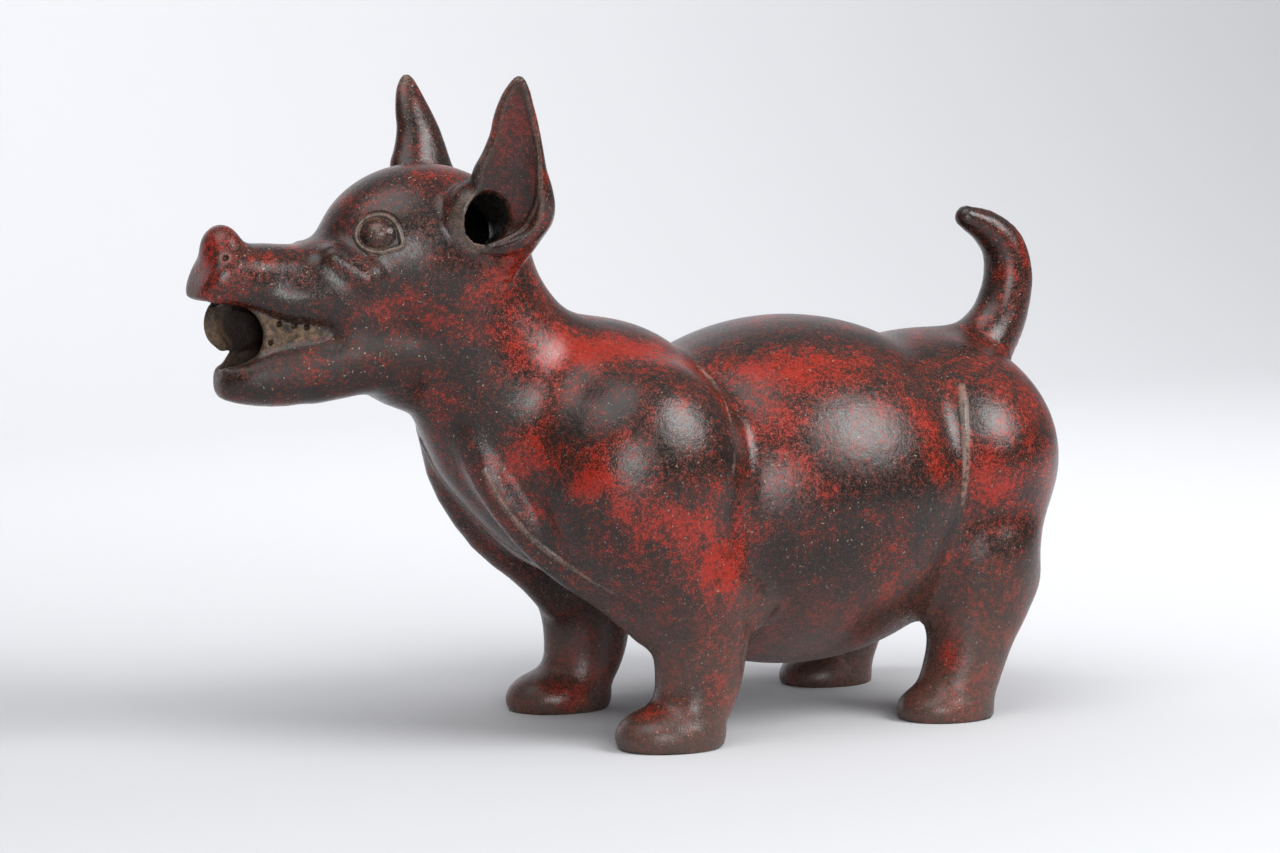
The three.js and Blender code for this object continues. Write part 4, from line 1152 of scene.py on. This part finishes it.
# %% Untangling folds
def untangle(points, faces, rounds, off, facing_least):
    """Combs out folds. A corner is bad if it is still off the skin by that much, or if one of its
    triangles has a normal whose cosine with the slope is under the least. Bad corners and the ring
    round them are drawn to the middle of their neighbours and settled again."""
    near_bad = np.ones(len(points), dtype=bool)
    for turn in range(rounds):
        some = faces[near_bad[faces].any(axis=1)]
        n = normals_of(points, some)
        g = slope(skin, points[some].mean(axis=1))
        facing = np.einsum("ij,ij->i", n, g) / np.maximum(length(n) * length(g), 1e-12)
        bad = np.zeros(len(points), dtype=bool)
        bad[some[facing < facing_least].ravel()] = True
        rows = np.flatnonzero(near_bad)
        bad[rows[np.abs(skin(points[rows])) > off]] = True
        print("comb", turn, "bad corners", int(bad.sum()))
        if not bad.any():
            break
        ring = bad.copy()
        ring[faces[bad[faces].any(axis=1)].ravel()] = True
        near_bad = ring.copy()
        near_bad[faces[ring[faces].any(axis=1)].ravel()] = True
        local = faces[near_bad[faces].any(axis=1)]
        for _ in range(3):
            points[ring] += 0.7 * (neighbours(points, local)[ring] - points[ring])
        points[ring] = settle(points[ring], skin, 5, most=0.8)
    return points


off_skin = np.abs(skin(cad_points)).mean()
print("the solid's corners are off the skin by", round(off_skin, 2), "mm on average")

# %% [markdown]
# ## Growing the net
#
# Up to five rounds of cutting, evening out and settling bring the net to its fineness. An edge is
# cut when it is over 1.35 times as long as wanted, so its halves are at least two thirds as long as
# wanted. The hollow is seen only through the ears and the mouth and keeps longer edges.

# %% Net of the skin
OVER_LONG = 1.35
HOLLOW_FROM, HOLLOW_EDGE = 3.0, 9.0  # depth under the outside, and the longest edge from there on


def too_long(points, edges):
    """Which edges are to be cut, by their length and the place of their middle."""
    middle = points[edges].mean(axis=1)
    goal = fineness(middle) * OVER_LONG
    goal[outside(middle) < -HOLLOW_FROM] = HOLLOW_EDGE
    return length(points[edges[:, 0]] - points[edges[:, 1]]) > goal


def grown_net(points, faces, rounds=5):
    """Cuts, evens out and settles the net until hardly any edge is left to cut."""
    points = settle(points, skin, 4, most=0.8)
    for turn in range(rounds):
        before = len(faces)
        points, faces = split(points, faces, too_long)
        for _ in range(3):
            faces, swaps = swap(points, faces)
            points = slide(points, faces, 0.4)
        points = settle(points, skin, 1)
        print("round", turn, "triangles", len(faces), "last swaps", swaps)
        if len(faces) < before * 1.02:
            break
    return points, faces


points, faces = grown_net(cad_points, cad_faces)
points = settle(points, skin, 2, most=0.6)
points = untangle(points, faces, rounds=8, off=0.05, facing_least=0.35)
print("net:", len(points), "corners,", len(faces), "triangles")

# %% [markdown]
# ## Hollows and rims
#
# The finish changes with the form: dust lies in hollows, and slip is worn off rims. Blender's
# Pointiness tells them apart too, but it looks only one edge far, so it would change where the net
# gets finer. The distance is the same for any net: one step out of a hollow the clay on both sides
# is nearer than the step is long, and one step into a sharp rim the surface is nearer too.

# %% Creases and rims
normals = corner_normals(points, faces)
steep = np.maximum(length(slope(skin, points)), 0.3)


def hollowness(step):
    """Share of the step by which the clay is nearer than it should be, one step outwards. The
    distance is divided by its own slope, which isn't 1 everywhere."""
    return np.clip(1 - skin(points + normals * step) / (step * steep), 0, 1)


def sharpness(step):
    """The same, one step inwards."""
    return np.clip(1 + skin(points - normals * step) / (step * steep), 0, 1)


# Narrow creases are felt 3 mm out and broad hollows 14 mm out. There is less dust on the head.
creases = 0.7 * smooth(hollowness(3), 0.05, 0.4) + 0.6 * smooth(hollowness(14), 0.2, 0.6)
creases = np.clip(creases, 0, 1) * (0.35 + 0.65 * smooth(points[:, 0], -130, -60))
in_cup = smooth(-EAR_CUP.at(mirrored(points) - [0, 0.5, 0]), -2.5, -0.6)
creases *= 1 - in_cup
rims = smooth(sharpness(2.5), 0.06, 0.5)
print("creases", round(creases.mean(), 3), "rims", round(rims.mean(), 3))

# %% [markdown]
# ## Red slip, soot and painted shade
#
# The kiln left red where flames had air and black where they had none. Noise alone would put the
# clouds anywhere, so each is an egg with a bent edge. Its place was read off the photograph through
# the camera, and its size and strength were set by comparing the mean colours of the same regions.
# The far side isn't known, and has a few clouds in keeping.

# %% One cloud
def near(place, reach, mirror=False):
    """1 at a place, falling to 0 a little past its reach, the half sizes of an egg. The clouds of
    a kiln have no even edge, so the egg is bent by waves of sines, 3 and 2 mm high."""
    q = mirrored(points) if mirror else points
    bent = q + 3 * np.sin(q[:, [2, 0, 1]] / 9 + [0.4, 2.1, 4.4]) + 2 * np.sin(q[:, [1, 2, 0]] / 3.7)
    return 1 - smooth(length((bent - place) / reach), 0.15, 1.15)


fold = near((-145, 22, 205), (14, 12, 12), mirror=True)
print("corners in the fold in front of the eyes:", np.count_nonzero(fold))

# %% [markdown]
# ## The clouds
#
# Clouds that overlap add up, each less the more there is already, and nothing is added where there
# is 1.8 or more. A few near the end of each list are for the far side, which the photograph doesn't
# show. An image would give every fleck its place, but it would only fit this one view.

# %% Red, soot and painted shade
CLOUD_MOST = 1.8
# Each cloud: its middle and half sizes in the potter's millimetres, and its strength.
RED_SLIP = [
    ((-202, -8, 204), (9, 14, 12), 0.5),
    ((-190, -6, 216), (12, 14, 8), 0.4),
    ((-168, -8, 211), (26, 14, 7), 0.2),
    ((-130, -27, 192), (15, 12, 8), 1.5),
    ((-112, -31, 191), (18, 12, 8), 0.7),
    ((-141, -7, 228), (14, 12, 8), 0.8),
    ((-120, -10, 240), (22, 16, 10), 0.35),
    ((-80, -40, 203), (12, 14, 14), 1.5),
    ((-76, -34, 180), (12, 18, 22), 0.8),
    ((-86, -46, 252), (12, 12, 26), 0.45),
    ((-75, -52, 228), (9, 10, 22), 0.6),
    ((-46, -32, 168), (28, 26, 13), 2.2),
    ((-18, -38, 166), (28, 26, 12), 1.9),
    ((6, -36, 160), (18, 20, 9), 0.8),
    ((50, -50, 156), (34, 30, 16), 1.5),
    ((84, -46, 158), (22, 24, 12), 0.7),
    ((30, -60, 134), (20, 22, 22), 0.75),
    ((40, -71, 114), (16, 20, 16), 0.6),
    ((-74, -38, 126), (18, 22, 14), 1.1),
    ((-53, -64, 113), (20, 22, 16), 1.5),
    ((-29, -74, 99), (26, 24, 16), 1.7),
    ((0, -72, 80), (20, 22, 18), 1.4),
    ((-44, -70, 132), (12, 16, 12), 0.6),
    ((108, -70, 118), (12, 20, 28), 1.4),
    ((135, -70, 106), (20, 20, 18), 1.5),
    ((150, -62, 138), (18, 22, 16), 0.7),
    ((168, -50, 120), (16, 26, 30), 0.5),
    ((184, -6, 196), (10, 12, 22), 0.5),
    ((-16, 36, 13), (18, 18, 10), 0.9),
    ((8, 34, 40), (12, 16, 30), 0.6),
    ((-26, -58, 15), (16, 20, 10), 0.9),
    ((-6, -66, 24), (16, 12, 12), 0.7),
    ((0, -66, 48), (22, 14, 24), 0.35),
    ((121, -58, 30), (8, 14, 14), 0.9),
    ((60, 50, 150), (50, 40, 24), 0.8),
    ((-30, 50, 150), (40, 40, 30), 0.8),
    ((130, 64, 110), (34, 30, 34), 0.7),
    ((-110, 30, 190), (30, 20, 16), 0.6),
]
# Soot clouds from the kiln, and one cloud of painted shade in the near ear cup.
SOOT_AND_SHADE_CLOUDS = [
    ((-90, -28, 146), (24, 26, 34), 1.3),
    ((-68, -52, 142), (20, 22, 20), 0.9),
    ((-112, -20, 164), (30, 24, 14), 0.8),
    ((-72, -10, 92), (34, 34, 30), 0.7),
    ((86, -76, 100), (56, 40, 24), 1.5),
    ((50, -70, 74), (50, 40, 26), 0.6),
    ((104, -44, 164), (34, 34, 16), 0.6),
    ((-165, -12, 158), (38, 28, 16), 1.1),
    ((-135, 0, 205), (70, 44, 44), 0.45),
    # Painted shade: this cloud darkens the near ear cup, which the lamps don't reach.
    ((-92, -48, 228), (16, 20, 20), 0.8),
    ((-134, -26, 218), (10, 9, 9), 0.9),
    ((-176, -16, 196), (20, 12, 8), 0.5),
    ((-30, 50, 40), (30, 26, 50), 0.4),
    ((186, 0, 172), (22, 24, 26), 0.6),
    ((80, 40, 80), (70, 50, 50), 0.5),
]
red, soot_and_shade = np.zeros(len(points)), np.zeros(len(points))
for values, patches in [(red, RED_SLIP), (soot_and_shade, SOOT_AND_SHADE_CLOUDS)]:
    for place, reach, strength in patches:
        spot = strength * near(place, reach)
        values += spot * (CLOUD_MOST - values).clip(0) / CLOUD_MOST
print("red", round(red.mean(), 2), "soot_and_shade", round(soot_and_shade.mean(), 2))

# %% [markdown]
# ## Haze and bare clay
#
# Some places have a finish of their own. The legs have a grey haze low down, and the mouth and the
# soles were never slipped, so that bare clay shows between the lips. Outlines drawn by hand would
# miss the lips by a little, so each finish is a mask from 0 to 1 worked out from the same forms as
# the skin.

# %% Haze, bare clay and inside
haze = 0.7 * (1 - smooth(points[:, 2], 15, 92)) * (1 - 0.7 * np.clip(red, 0, 1))
by_mouth = 1 - smooth(length((points - [-180, 0, 178]) / [42, 26, 26]), 0.85, 1)
jaws = [SNOUT.at(points), CHIN.at(points), CHEEK.at(mirrored(points))]
between_jaws = smooth(np.min(jaws, axis=0), 1.6, 2.6)
lower_lip = smooth(-JAW.at(points), 0.6, 2) * (1 - smooth(CHIN.at(points), 0.4, 1.2))
upper_lip = smooth(-MUZZLE.at(points), 0.8, 2.4) * (1 - smooth(SNOUT.at(points), 0.4, 1.2))
bare = np.clip(by_mouth * (between_jaws + 0.9 * lower_lip + 0.4 * upper_lip), 0, 1)
bare = np.maximum(bare, points[:, 2] < 0.4)
within = smooth(-outside(points), 0.6, 3.0)
print("haze", round(haze.mean(), 3), "bare", round(bare.mean(), 3), "within", round(within.mean(), 3))

# %% [markdown]
# ## Wear, painted highlight, painted shade and lost shine
#
# The lids and all rims are painted pale, partly as wear and partly as painted highlight, and the
# middle of each eyeball has a pale painted highlight. The lower jaw and the cheek behind it lost
# their shine. The ear cups and the hollow of the mouth are darkened with painted shade. The fold in
# front of the eye is a rim by its form, but it is left out of the rims, so its shine comes from the
# lamps alone.

# %% Wear and painted highlight, painted shade and matt
along, up, off, _, lid = round_eye(points)
by_eye = np.abs(off) < 8
# Pale on lids and rims is partly wear and partly painted highlight; the eyeball gets a painted
# highlight.
eyeball_highlight = bump(np.hypot(along - BALL_PLACE[0], up - BALL_PLACE[1]), 5)
wear_and_highlight = np.where(by_eye, bump(lid + 0.9, 1.2), 0)
wear_and_highlight = np.maximum(wear_and_highlight, 0.5 * rims * (points[:, 2] > 3) * (1 - fold))
wear_and_highlight = np.maximum(wear_and_highlight, 0.55 * by_eye * eyeball_highlight)
in_gape = by_mouth * (1 - smooth(GAPE.at(points), 0.3, 1.6)) * smooth(points[:, 0], -204, -180)
# Painted shade: the ear cups, the hollow of the mouth and the inside of the flap are darkened.
painted_shade = np.maximum(0.55 * in_cup, 0.8 * in_gape)
in_flap = (points[:, 1] > -2) & (np.abs(points[:, 2] - 180) < 11) & (points[:, 0] < -158)
in_flap &= GAPE.at(points) < 3
painted_shade = np.maximum(painted_shade, in_flap * by_mouth * smooth(FLAP.at(points), 0.4, 2.6))
matt = near((-158, -10, 165), (44, 34, 17))
matt = np.maximum(matt, near((-126, -24, 176), (30, 30, 24)))
print("wear_and_highlight", round(wear_and_highlight.mean(), 3), "painted_shade", round(painted_shade.mean(), 3), "matt", round(matt.mean(), 3))

# %% [markdown]
# ## The mesh
#
# Points and triangles go into a Blender mesh in metres, moved to where the CAD solid is. The masks
# go with it as attributes of its corners, because a material can read those by name and they
# stay on the surface. The new skin stands for the solid, which is kept for collisions.

# %% Skin mesh
skin_mesh = bpy.data.meshes.new("burnished_dog")
skin_mesh.from_pydata(((points + SHIFT) / 1000).tolist(), [], faces.tolist())
skin_mesh.polygons.foreach_set("use_smooth", np.ones(len(faces), dtype=bool))
masks = {"red_slip": red, "soot_and_shade": soot_and_shade, "creases": creases, "haze": haze, "bare": bare}
masks |= {"within": within, "wear_and_highlight": wear_and_highlight, "painted_shade": painted_shade, "matt": matt}
for name, values in masks.items():
    attribute = skin_mesh.attributes.new(name, "FLOAT", "POINT")
    attribute.data.foreach_set("value", values.astype(np.float32))
burnished_dog = bpy.data.objects.new("burnished_dog", skin_mesh)
bpy.context.scene.collection.objects.link(burnished_dog)
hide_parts("dog_vessel")
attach(burnished_dog, "root")
print("skin of", len(skin_mesh.polygons), "triangles with", len(masks), "masks")

# %% [markdown]
# ## Nodes in short
#
# A material is a tree of nodes. Written out in full, each node takes about five lines, so this
# class gives the few kinds that are used here one short name each.

# %% Tree of nodes
def material(name):
    """A material with an empty Principled shader, its node tree and its shader."""
    made = bpy.data.materials.new(name)
    made.use_nodes = True
    return made, made.node_tree, made.node_tree.nodes["Principled BSDF"]


class Tree:
    """Short ways to place nodes in a tree."""

    def __init__(self, tree):
        self.tree = tree

    def node(self, kind, **settings):
        """Places a node and gives it its settings."""
        made = self.tree.nodes.new(kind)
        for key, value in settings.items():
            setattr(made, key, value)
        return made

    def link(self, value, socket):
        """Joins an output to a socket, or puts a plain value into it."""
        if isinstance(value, bpy.types.NodeSocket):
            self.tree.links.new(value, socket)
        else:
            socket.default_value = value

    def math(self, operation, a, b=0.0, c=0.0, clamp=False):
        """One step of arithmetic: MULTIPLY_ADD is a times b plus c."""
        n = self.node("ShaderNodeMath", operation=operation, use_clamp=clamp)
        for socket, value in zip(n.inputs, (a, b, c)):
            self.link(value, socket)
        return n.outputs[0]

    def ramp(self, value, low, high, out_low=0.0, out_high=1.0):
        """The node for smooth(): out_low below low, out_high above high, and even at both."""
        n = self.node("ShaderNodeMapRange", interpolation_type="SMOOTHSTEP")
        for socket, v in zip(n.inputs, (value, low, high, out_low, out_high)):
            self.link(v, socket)
        return n.outputs[0]

    def mix(self, share, a, b):
        """Colour a where the share is 0, b where it is 1."""
        n = self.node("ShaderNodeMix", data_type="RGBA")
        self.link(share, n.inputs[0])
        self.link(a, n.inputs[6])
        self.link(b, n.inputs[7])
        return n.outputs[2]

    def noise(self, at, scale, detail, roughness):
        """Cloudy noise round 0.5, with so many lumps for each metre."""
        n = self.node("ShaderNodeTexNoise")
        self.link(at, n.inputs["Vector"])
        n.inputs["Scale"].default_value, n.inputs["Detail"].default_value = scale, detail
        n.inputs["Roughness"].default_value = roughness
        return n.outputs["Fac"]

    def attribute(self, name):
        """One of the skin's masks."""
        return self.node("ShaderNodeAttribute", attribute_name=name).outputs["Fac"]


slip, slip_tree, slip_shader = material("burnished_slip")
clay = Tree(slip_tree)
on_clay = clay.node("ShaderNodeTexCoord").outputs["Object"]
print("nodes of a new material:", len(slip_tree.nodes))

# %% [markdown]
# ## Clouds, flecks and grit
#
# Close up, the red never fades evenly into the black: it breaks up into flecks of a millimetre and
# less, like a dithered print, because the slip wore off the high grains first. Four noises give
# that, from lumps of 5 cm to grains under a millimetre.

# %% Four noises
def spread_noise(scale, detail=3, roughness=0.5):
    """Noise about 0: nine times the noise less its middle, so that its usual swing is about 1."""
    return clay.math("MULTIPLY_ADD", clay.noise(on_clay, scale, detail, roughness), 9.0, -4.5)


def weighted(*terms):
    """Sum of values, each times its weight."""
    total = 0.0
    for value, weight in terms:
        total = clay.math("MULTIPLY_ADD", value, weight, total)
    return total


clouds = spread_noise(21, 3, 0.55)
blotch = spread_noise(85, 3, 0.6)
fleck = spread_noise(430, 3, 0.65)
grit = spread_noise(1500, 2, 0.6)
dither = weighted((fleck, 0.8), (grit, 0.85))
print("nodes so far:", len(slip_tree.nodes))

# %% [markdown]
# ## Colour of the slip
#
# The share of red is the red cloud less the soot and one cloud of painted shade, plus the broad
# noises. The dither is added to it before it picks a colour, from black through brown to red, so the
# edge of a cloud breaks up into flecks. Haze, dust, specks, pale wear with painted highlight, bare
# clay and painted shade are laid over it one after the other. A picture of the photograph's colours
# would also hold its lamps, and fit only one side.

# %% Base colour
RED = (0.27, 0.0135, 0.005, 1)
BROWN = (0.056, 0.011, 0.0055, 1)
BLACK = (0.012, 0.008, 0.0066, 1)
BLUE_GREY = (0.075, 0.076, 0.077, 1)
HAZE = (0.125, 0.078, 0.062, 1)
DUST = (0.21, 0.15, 0.10, 1)
SPECK = (0.42, 0.33, 0.24, 1)
CRUST = (0.018, 0.013, 0.010, 1)
CLAY = (0.2, 0.125, 0.072, 1)
# A pale colour for wear and for painted highlight on lids, rims and eyeballs.
PALE_WEAR_AND_HIGHLIGHT = (0.22, 0.17, 0.135, 1)
# A dark colour for painted shade in the ear cups and the hollow of the mouth.
PAINTED_SHADE_COLOUR = (0.014, 0.006, 0.004, 1)
INSIDE = (0.010, 0.008, 0.007, 1)
redness = weighted(
    (clay.attribute("red_slip"), 1.35),
    (clay.attribute("soot_and_shade"), -0.8),
    (clouds, 0.45),
    (blotch, 0.5),
)
redness = clay.math("ADD", redness, -0.58)
showing = clay.math("ADD", redness, dither)
colour = clay.mix(clay.ramp(showing, -1.9, 0.2), BLACK, BROWN)
colour = clay.mix(clay.ramp(showing, -0.2, 2.0), colour, RED)
pale = clay.ramp(weighted((grit, 0.8), (spread_noise(610, 2), 0.8)), 1.2, 2.2)
colour = clay.mix(clay.math("MULTIPLY", pale, 0.55), colour, BLUE_GREY)
colour = clay.mix(clay.math("MULTIPLY", clay.attribute("haze"), 0.62), colour, HAZE)
patchy = clay.ramp(weighted((fleck, 1), (blotch, 0.6)), -0.6, 1.4)
dusty = clay.math("MULTIPLY", clay.attribute("creases"), patchy)
colour = clay.mix(clay.math("MULTIPLY", dusty, 0.55, clamp=True), colour, DUST)
specks = clay.ramp(spread_noise(900, 1, 0.4), 2.0, 2.4)
colour = clay.mix(clay.math("MULTIPLY", specks, 0.6), colour, SPECK)
# Pale wear and painted highlight on lids, rims and eyeballs.
wear_and_highlight_share = clay.math("MULTIPLY", clay.attribute("wear_and_highlight"), clay.ramp(dither, -2.2, 1.2, 0.2, 0.75))
colour = clay.mix(wear_and_highlight_share, colour, PALE_WEAR_AND_HIGHLIGHT)
earthy = clay.ramp(weighted((blotch, 1), (fleck, 0.8), (grit, 0.4)), -2.0, 2.2)
bare_clay = clay.mix(earthy, CRUST, CLAY)
colour = clay.mix(clay.attribute("bare"), colour, bare_clay)
# Painted shade in the ear cups and the hollow of the mouth.
colour = clay.mix(clay.attribute("painted_shade"), colour, PAINTED_SHADE_COLOUR)
colour = clay.mix(clay.attribute("within"), colour, INSIDE)
clay.link(colour, slip_shader.inputs["Base Color"])
print("nodes with the colour:", len(slip_tree.nodes))

# %% [markdown]
# ## Gloss and grain
#
# A pebble rubbed over dry slip leaves a shine with no glaze, so there is no coat over the clay:
# only the roughness is low, and it changes with the grit. Dusty, bare, hazy and matt places are
# duller. The bump is for grains alone, mostly less than a tenth of a millimetre high on the slip
# and six times as high on bare clay. What is larger than that is in the mesh.

# %% Roughness and bump
dull = weighted(
    (clay.math("MAXIMUM", dusty, clay.attribute("bare")), 0.42),
    (clay.attribute("haze"), 0.10),
    (clay.attribute("matt"), 0.34),
)
gloss = weighted((fleck, 0.6), (grit, 0.9))
rough = clay.math("ADD", clay.ramp(gloss, -1.6, 1.8, 0.16, 0.35), dull, clamp=True)
slip_shader.inputs["Specular IOR Level"].default_value = 0.42
clay.link(rough, slip_shader.inputs["Roughness"])
grain = clay.node("ShaderNodeBump")
grain.inputs["Strength"].default_value = 0.4
grain.inputs["Distance"].default_value = 0.0003
relief = weighted((fleck, 0.12), (grit, 0.1), (spread_noise(160, 2), 0.2))
relief = clay.math("MULTIPLY", relief, weighted((clay.attribute("bare"), 5), (1, 1)))
clay.link(relief, grain.inputs["Height"])
clay.link(grain.outputs["Normal"], slip_shader.inputs["Normal"])
skin_mesh.materials.append(slip)
print("nodes in all:", len(slip_tree.nodes))

# %% [markdown]
# ## Studio paper
#
# The dog stands on pale paper that bends up behind it without a corner. A plane and a wall would
# show a line. It is a profile of a floor, a quarter circle and a wall, carried along x. The wall is
# 2.6 m away, so that the dog can also be seen from behind.

# %% Paper
def sweep(width, front, depth, rise, radius, steps=24):
    """Studio paper: a flat floor that bends up behind in a quarter circle, as a profile of
    depth and height carried along x."""
    angle = np.linspace(0, math.pi / 2, steps)
    profile = np.vstack(
        [
            [[-front, 0]],
            np.column_stack([depth + radius * np.sin(angle), radius - radius * np.cos(angle)]),
            [[depth + radius, rise]],
        ]
    )
    across = np.linspace(-width, width, 2)
    co = np.array([[x, y, z] for y, z in profile for x in across])
    rows = np.arange(len(profile) - 1)[:, None] * 2
    quads = rows + np.array([0, 1, 3, 2])
    mesh = bpy.data.meshes.new("studio_paper")
    mesh.from_pydata(co.tolist(), [], quads.tolist())
    mesh.polygons.foreach_set("use_smooth", np.ones(len(quads), dtype=bool))
    made = bpy.data.objects.new("studio_paper", mesh)
    bpy.context.scene.collection.objects.link(made)
    return made


PAPER = (0.61, 0.617, 0.641, 1)
paper = sweep(width=8, front=8, depth=1.2, rise=5, radius=1.4)
paper_material, _, paper_shader = material("studio_paper")
paper_shader.inputs["Base Color"].default_value = PAPER
paper_shader.inputs["Roughness"].default_value = 0.9
paper_shader.inputs["Specular IOR Level"].default_value = 0.0
paper.data.materials.append(paper_material)
print("paper of", len(paper.data.polygons), "strips")

# %% [markdown]
# ## The room
#
# Burnished clay shows what is round it. A plain white world would lay a grey veil over every dark
# place, so the room is bright above and behind and dark in front, by a ramp over direction.

# %% World
DARK, BRIGHT = 0.06, 0.5
world = bpy.data.worlds.new("studio_room")
bpy.context.scene.world = world
world.use_nodes = True
room = Tree(world.node_tree)
background = world.node_tree.nodes["Background"]
background.inputs["Color"].default_value = (1.0, 0.995, 0.985, 1)
parts = room.node("ShaderNodeSeparateXYZ")
room.link(room.node("ShaderNodeTexCoord").outputs["Generated"], parts.inputs[0])
behind = room.math("MULTIPLY", parts.outputs["Y"], 0.45)
upward = room.math("MULTIPLY_ADD", parts.outputs["Z"], 0.75, behind)
room.link(room.ramp(upward, -0.35, 0.85, DARK, BRIGHT), background.inputs["Strength"])
print("room strength from", DARK, "low in front to", BRIGHT, "above and behind")

# %% [markdown]
# ## Lamps
#
# Each bright spot on the shoulder, barrel and haunch is the image of a lamp. Round soft lamps give
# round spots: a key from the right, a weaker one near the camera that lights the face, a large one
# overhead, and one over the dog that looks along the camera's way and lights little but the paper.

# %% Four lamps
CENTRE = np.array([0, 0, 0.13])
PHOTO_AZIMUTH, PHOTO_ELEVATION = -28.8, 6.05


def direction(azimuth, elevation):
    """Unit vector from the dog: azimuth 0 is towards -Y and grows towards +X."""
    a, e = math.radians(azimuth), math.radians(elevation)
    return np.array([math.sin(a) * math.cos(e), -math.cos(a) * math.cos(e), math.sin(e)])


def softbox(name, azimuth, elevation, distance, size, power):
    """A round area light that faces the dog. Distance and size in metres, power in watts."""
    lamp = bpy.data.lights.new(name, "AREA")
    lamp.shape, lamp.size, lamp.energy = "DISK", size, power
    made = bpy.data.objects.new(name, lamp)
    bpy.context.scene.collection.objects.link(made)
    way = direction(azimuth, elevation)
    made.location = CENTRE + way * distance
    made.rotation_mode = "QUATERNION"
    made.rotation_quaternion = Vector(way).to_track_quat("Z", "Y")
    return made


softbox("key", 37, 35, 1.7, 1.0, 26)
softbox("front", -18, 13, 1.9, 0.8, 15)
softbox("overhead", -60, 64, 2.0, 1.8, 20)
backdrop = softbox("backdrop", 0, 90, 1.87, 1.5, 82)
backdrop.rotation_quaternion = Vector(direction(PHOTO_AZIMUTH, 0)).to_track_quat("Z", "Y")
print("lamps:", len(bpy.data.lights))

# %% [markdown]
# ## Camera
#
# The camera's place was fitted to the photograph's outline: 28.8 degrees round towards the head
# and 6 degrees above. The lens isn't known. A long one was taken, 100 mm from 1.53 m, because with
# a short one from nearer the head would look larger and the haunch smaller.

# %% Camera of the photograph
PHOTO_TARGET = (np.array([0, 0, 130]) + SHIFT) / 1000
PHOTO_DISTANCE = 1.533
LENS, FILM_WIDTH = 100, 36
camera_data = bpy.data.cameras.new("camera")
camera_data.lens, camera_data.sensor_width = LENS, FILM_WIDTH
camera = bpy.data.objects.new("camera", camera_data)
bpy.context.scene.collection.objects.link(camera)
view_way = direction(PHOTO_AZIMUTH, PHOTO_ELEVATION)
camera.location = PHOTO_TARGET + view_way * PHOTO_DISTANCE
camera.rotation_mode = "QUATERNION"
camera.rotation_quaternion = Vector(view_way).to_track_quat("Z", "Y")
camera_data.clip_start, camera_data.clip_end = 0.05, 40
bpy.context.scene.camera = camera
bpy.context.scene.view_settings.view_transform = "Standard"
print("camera at", [round(c, 2) for c in camera.location])
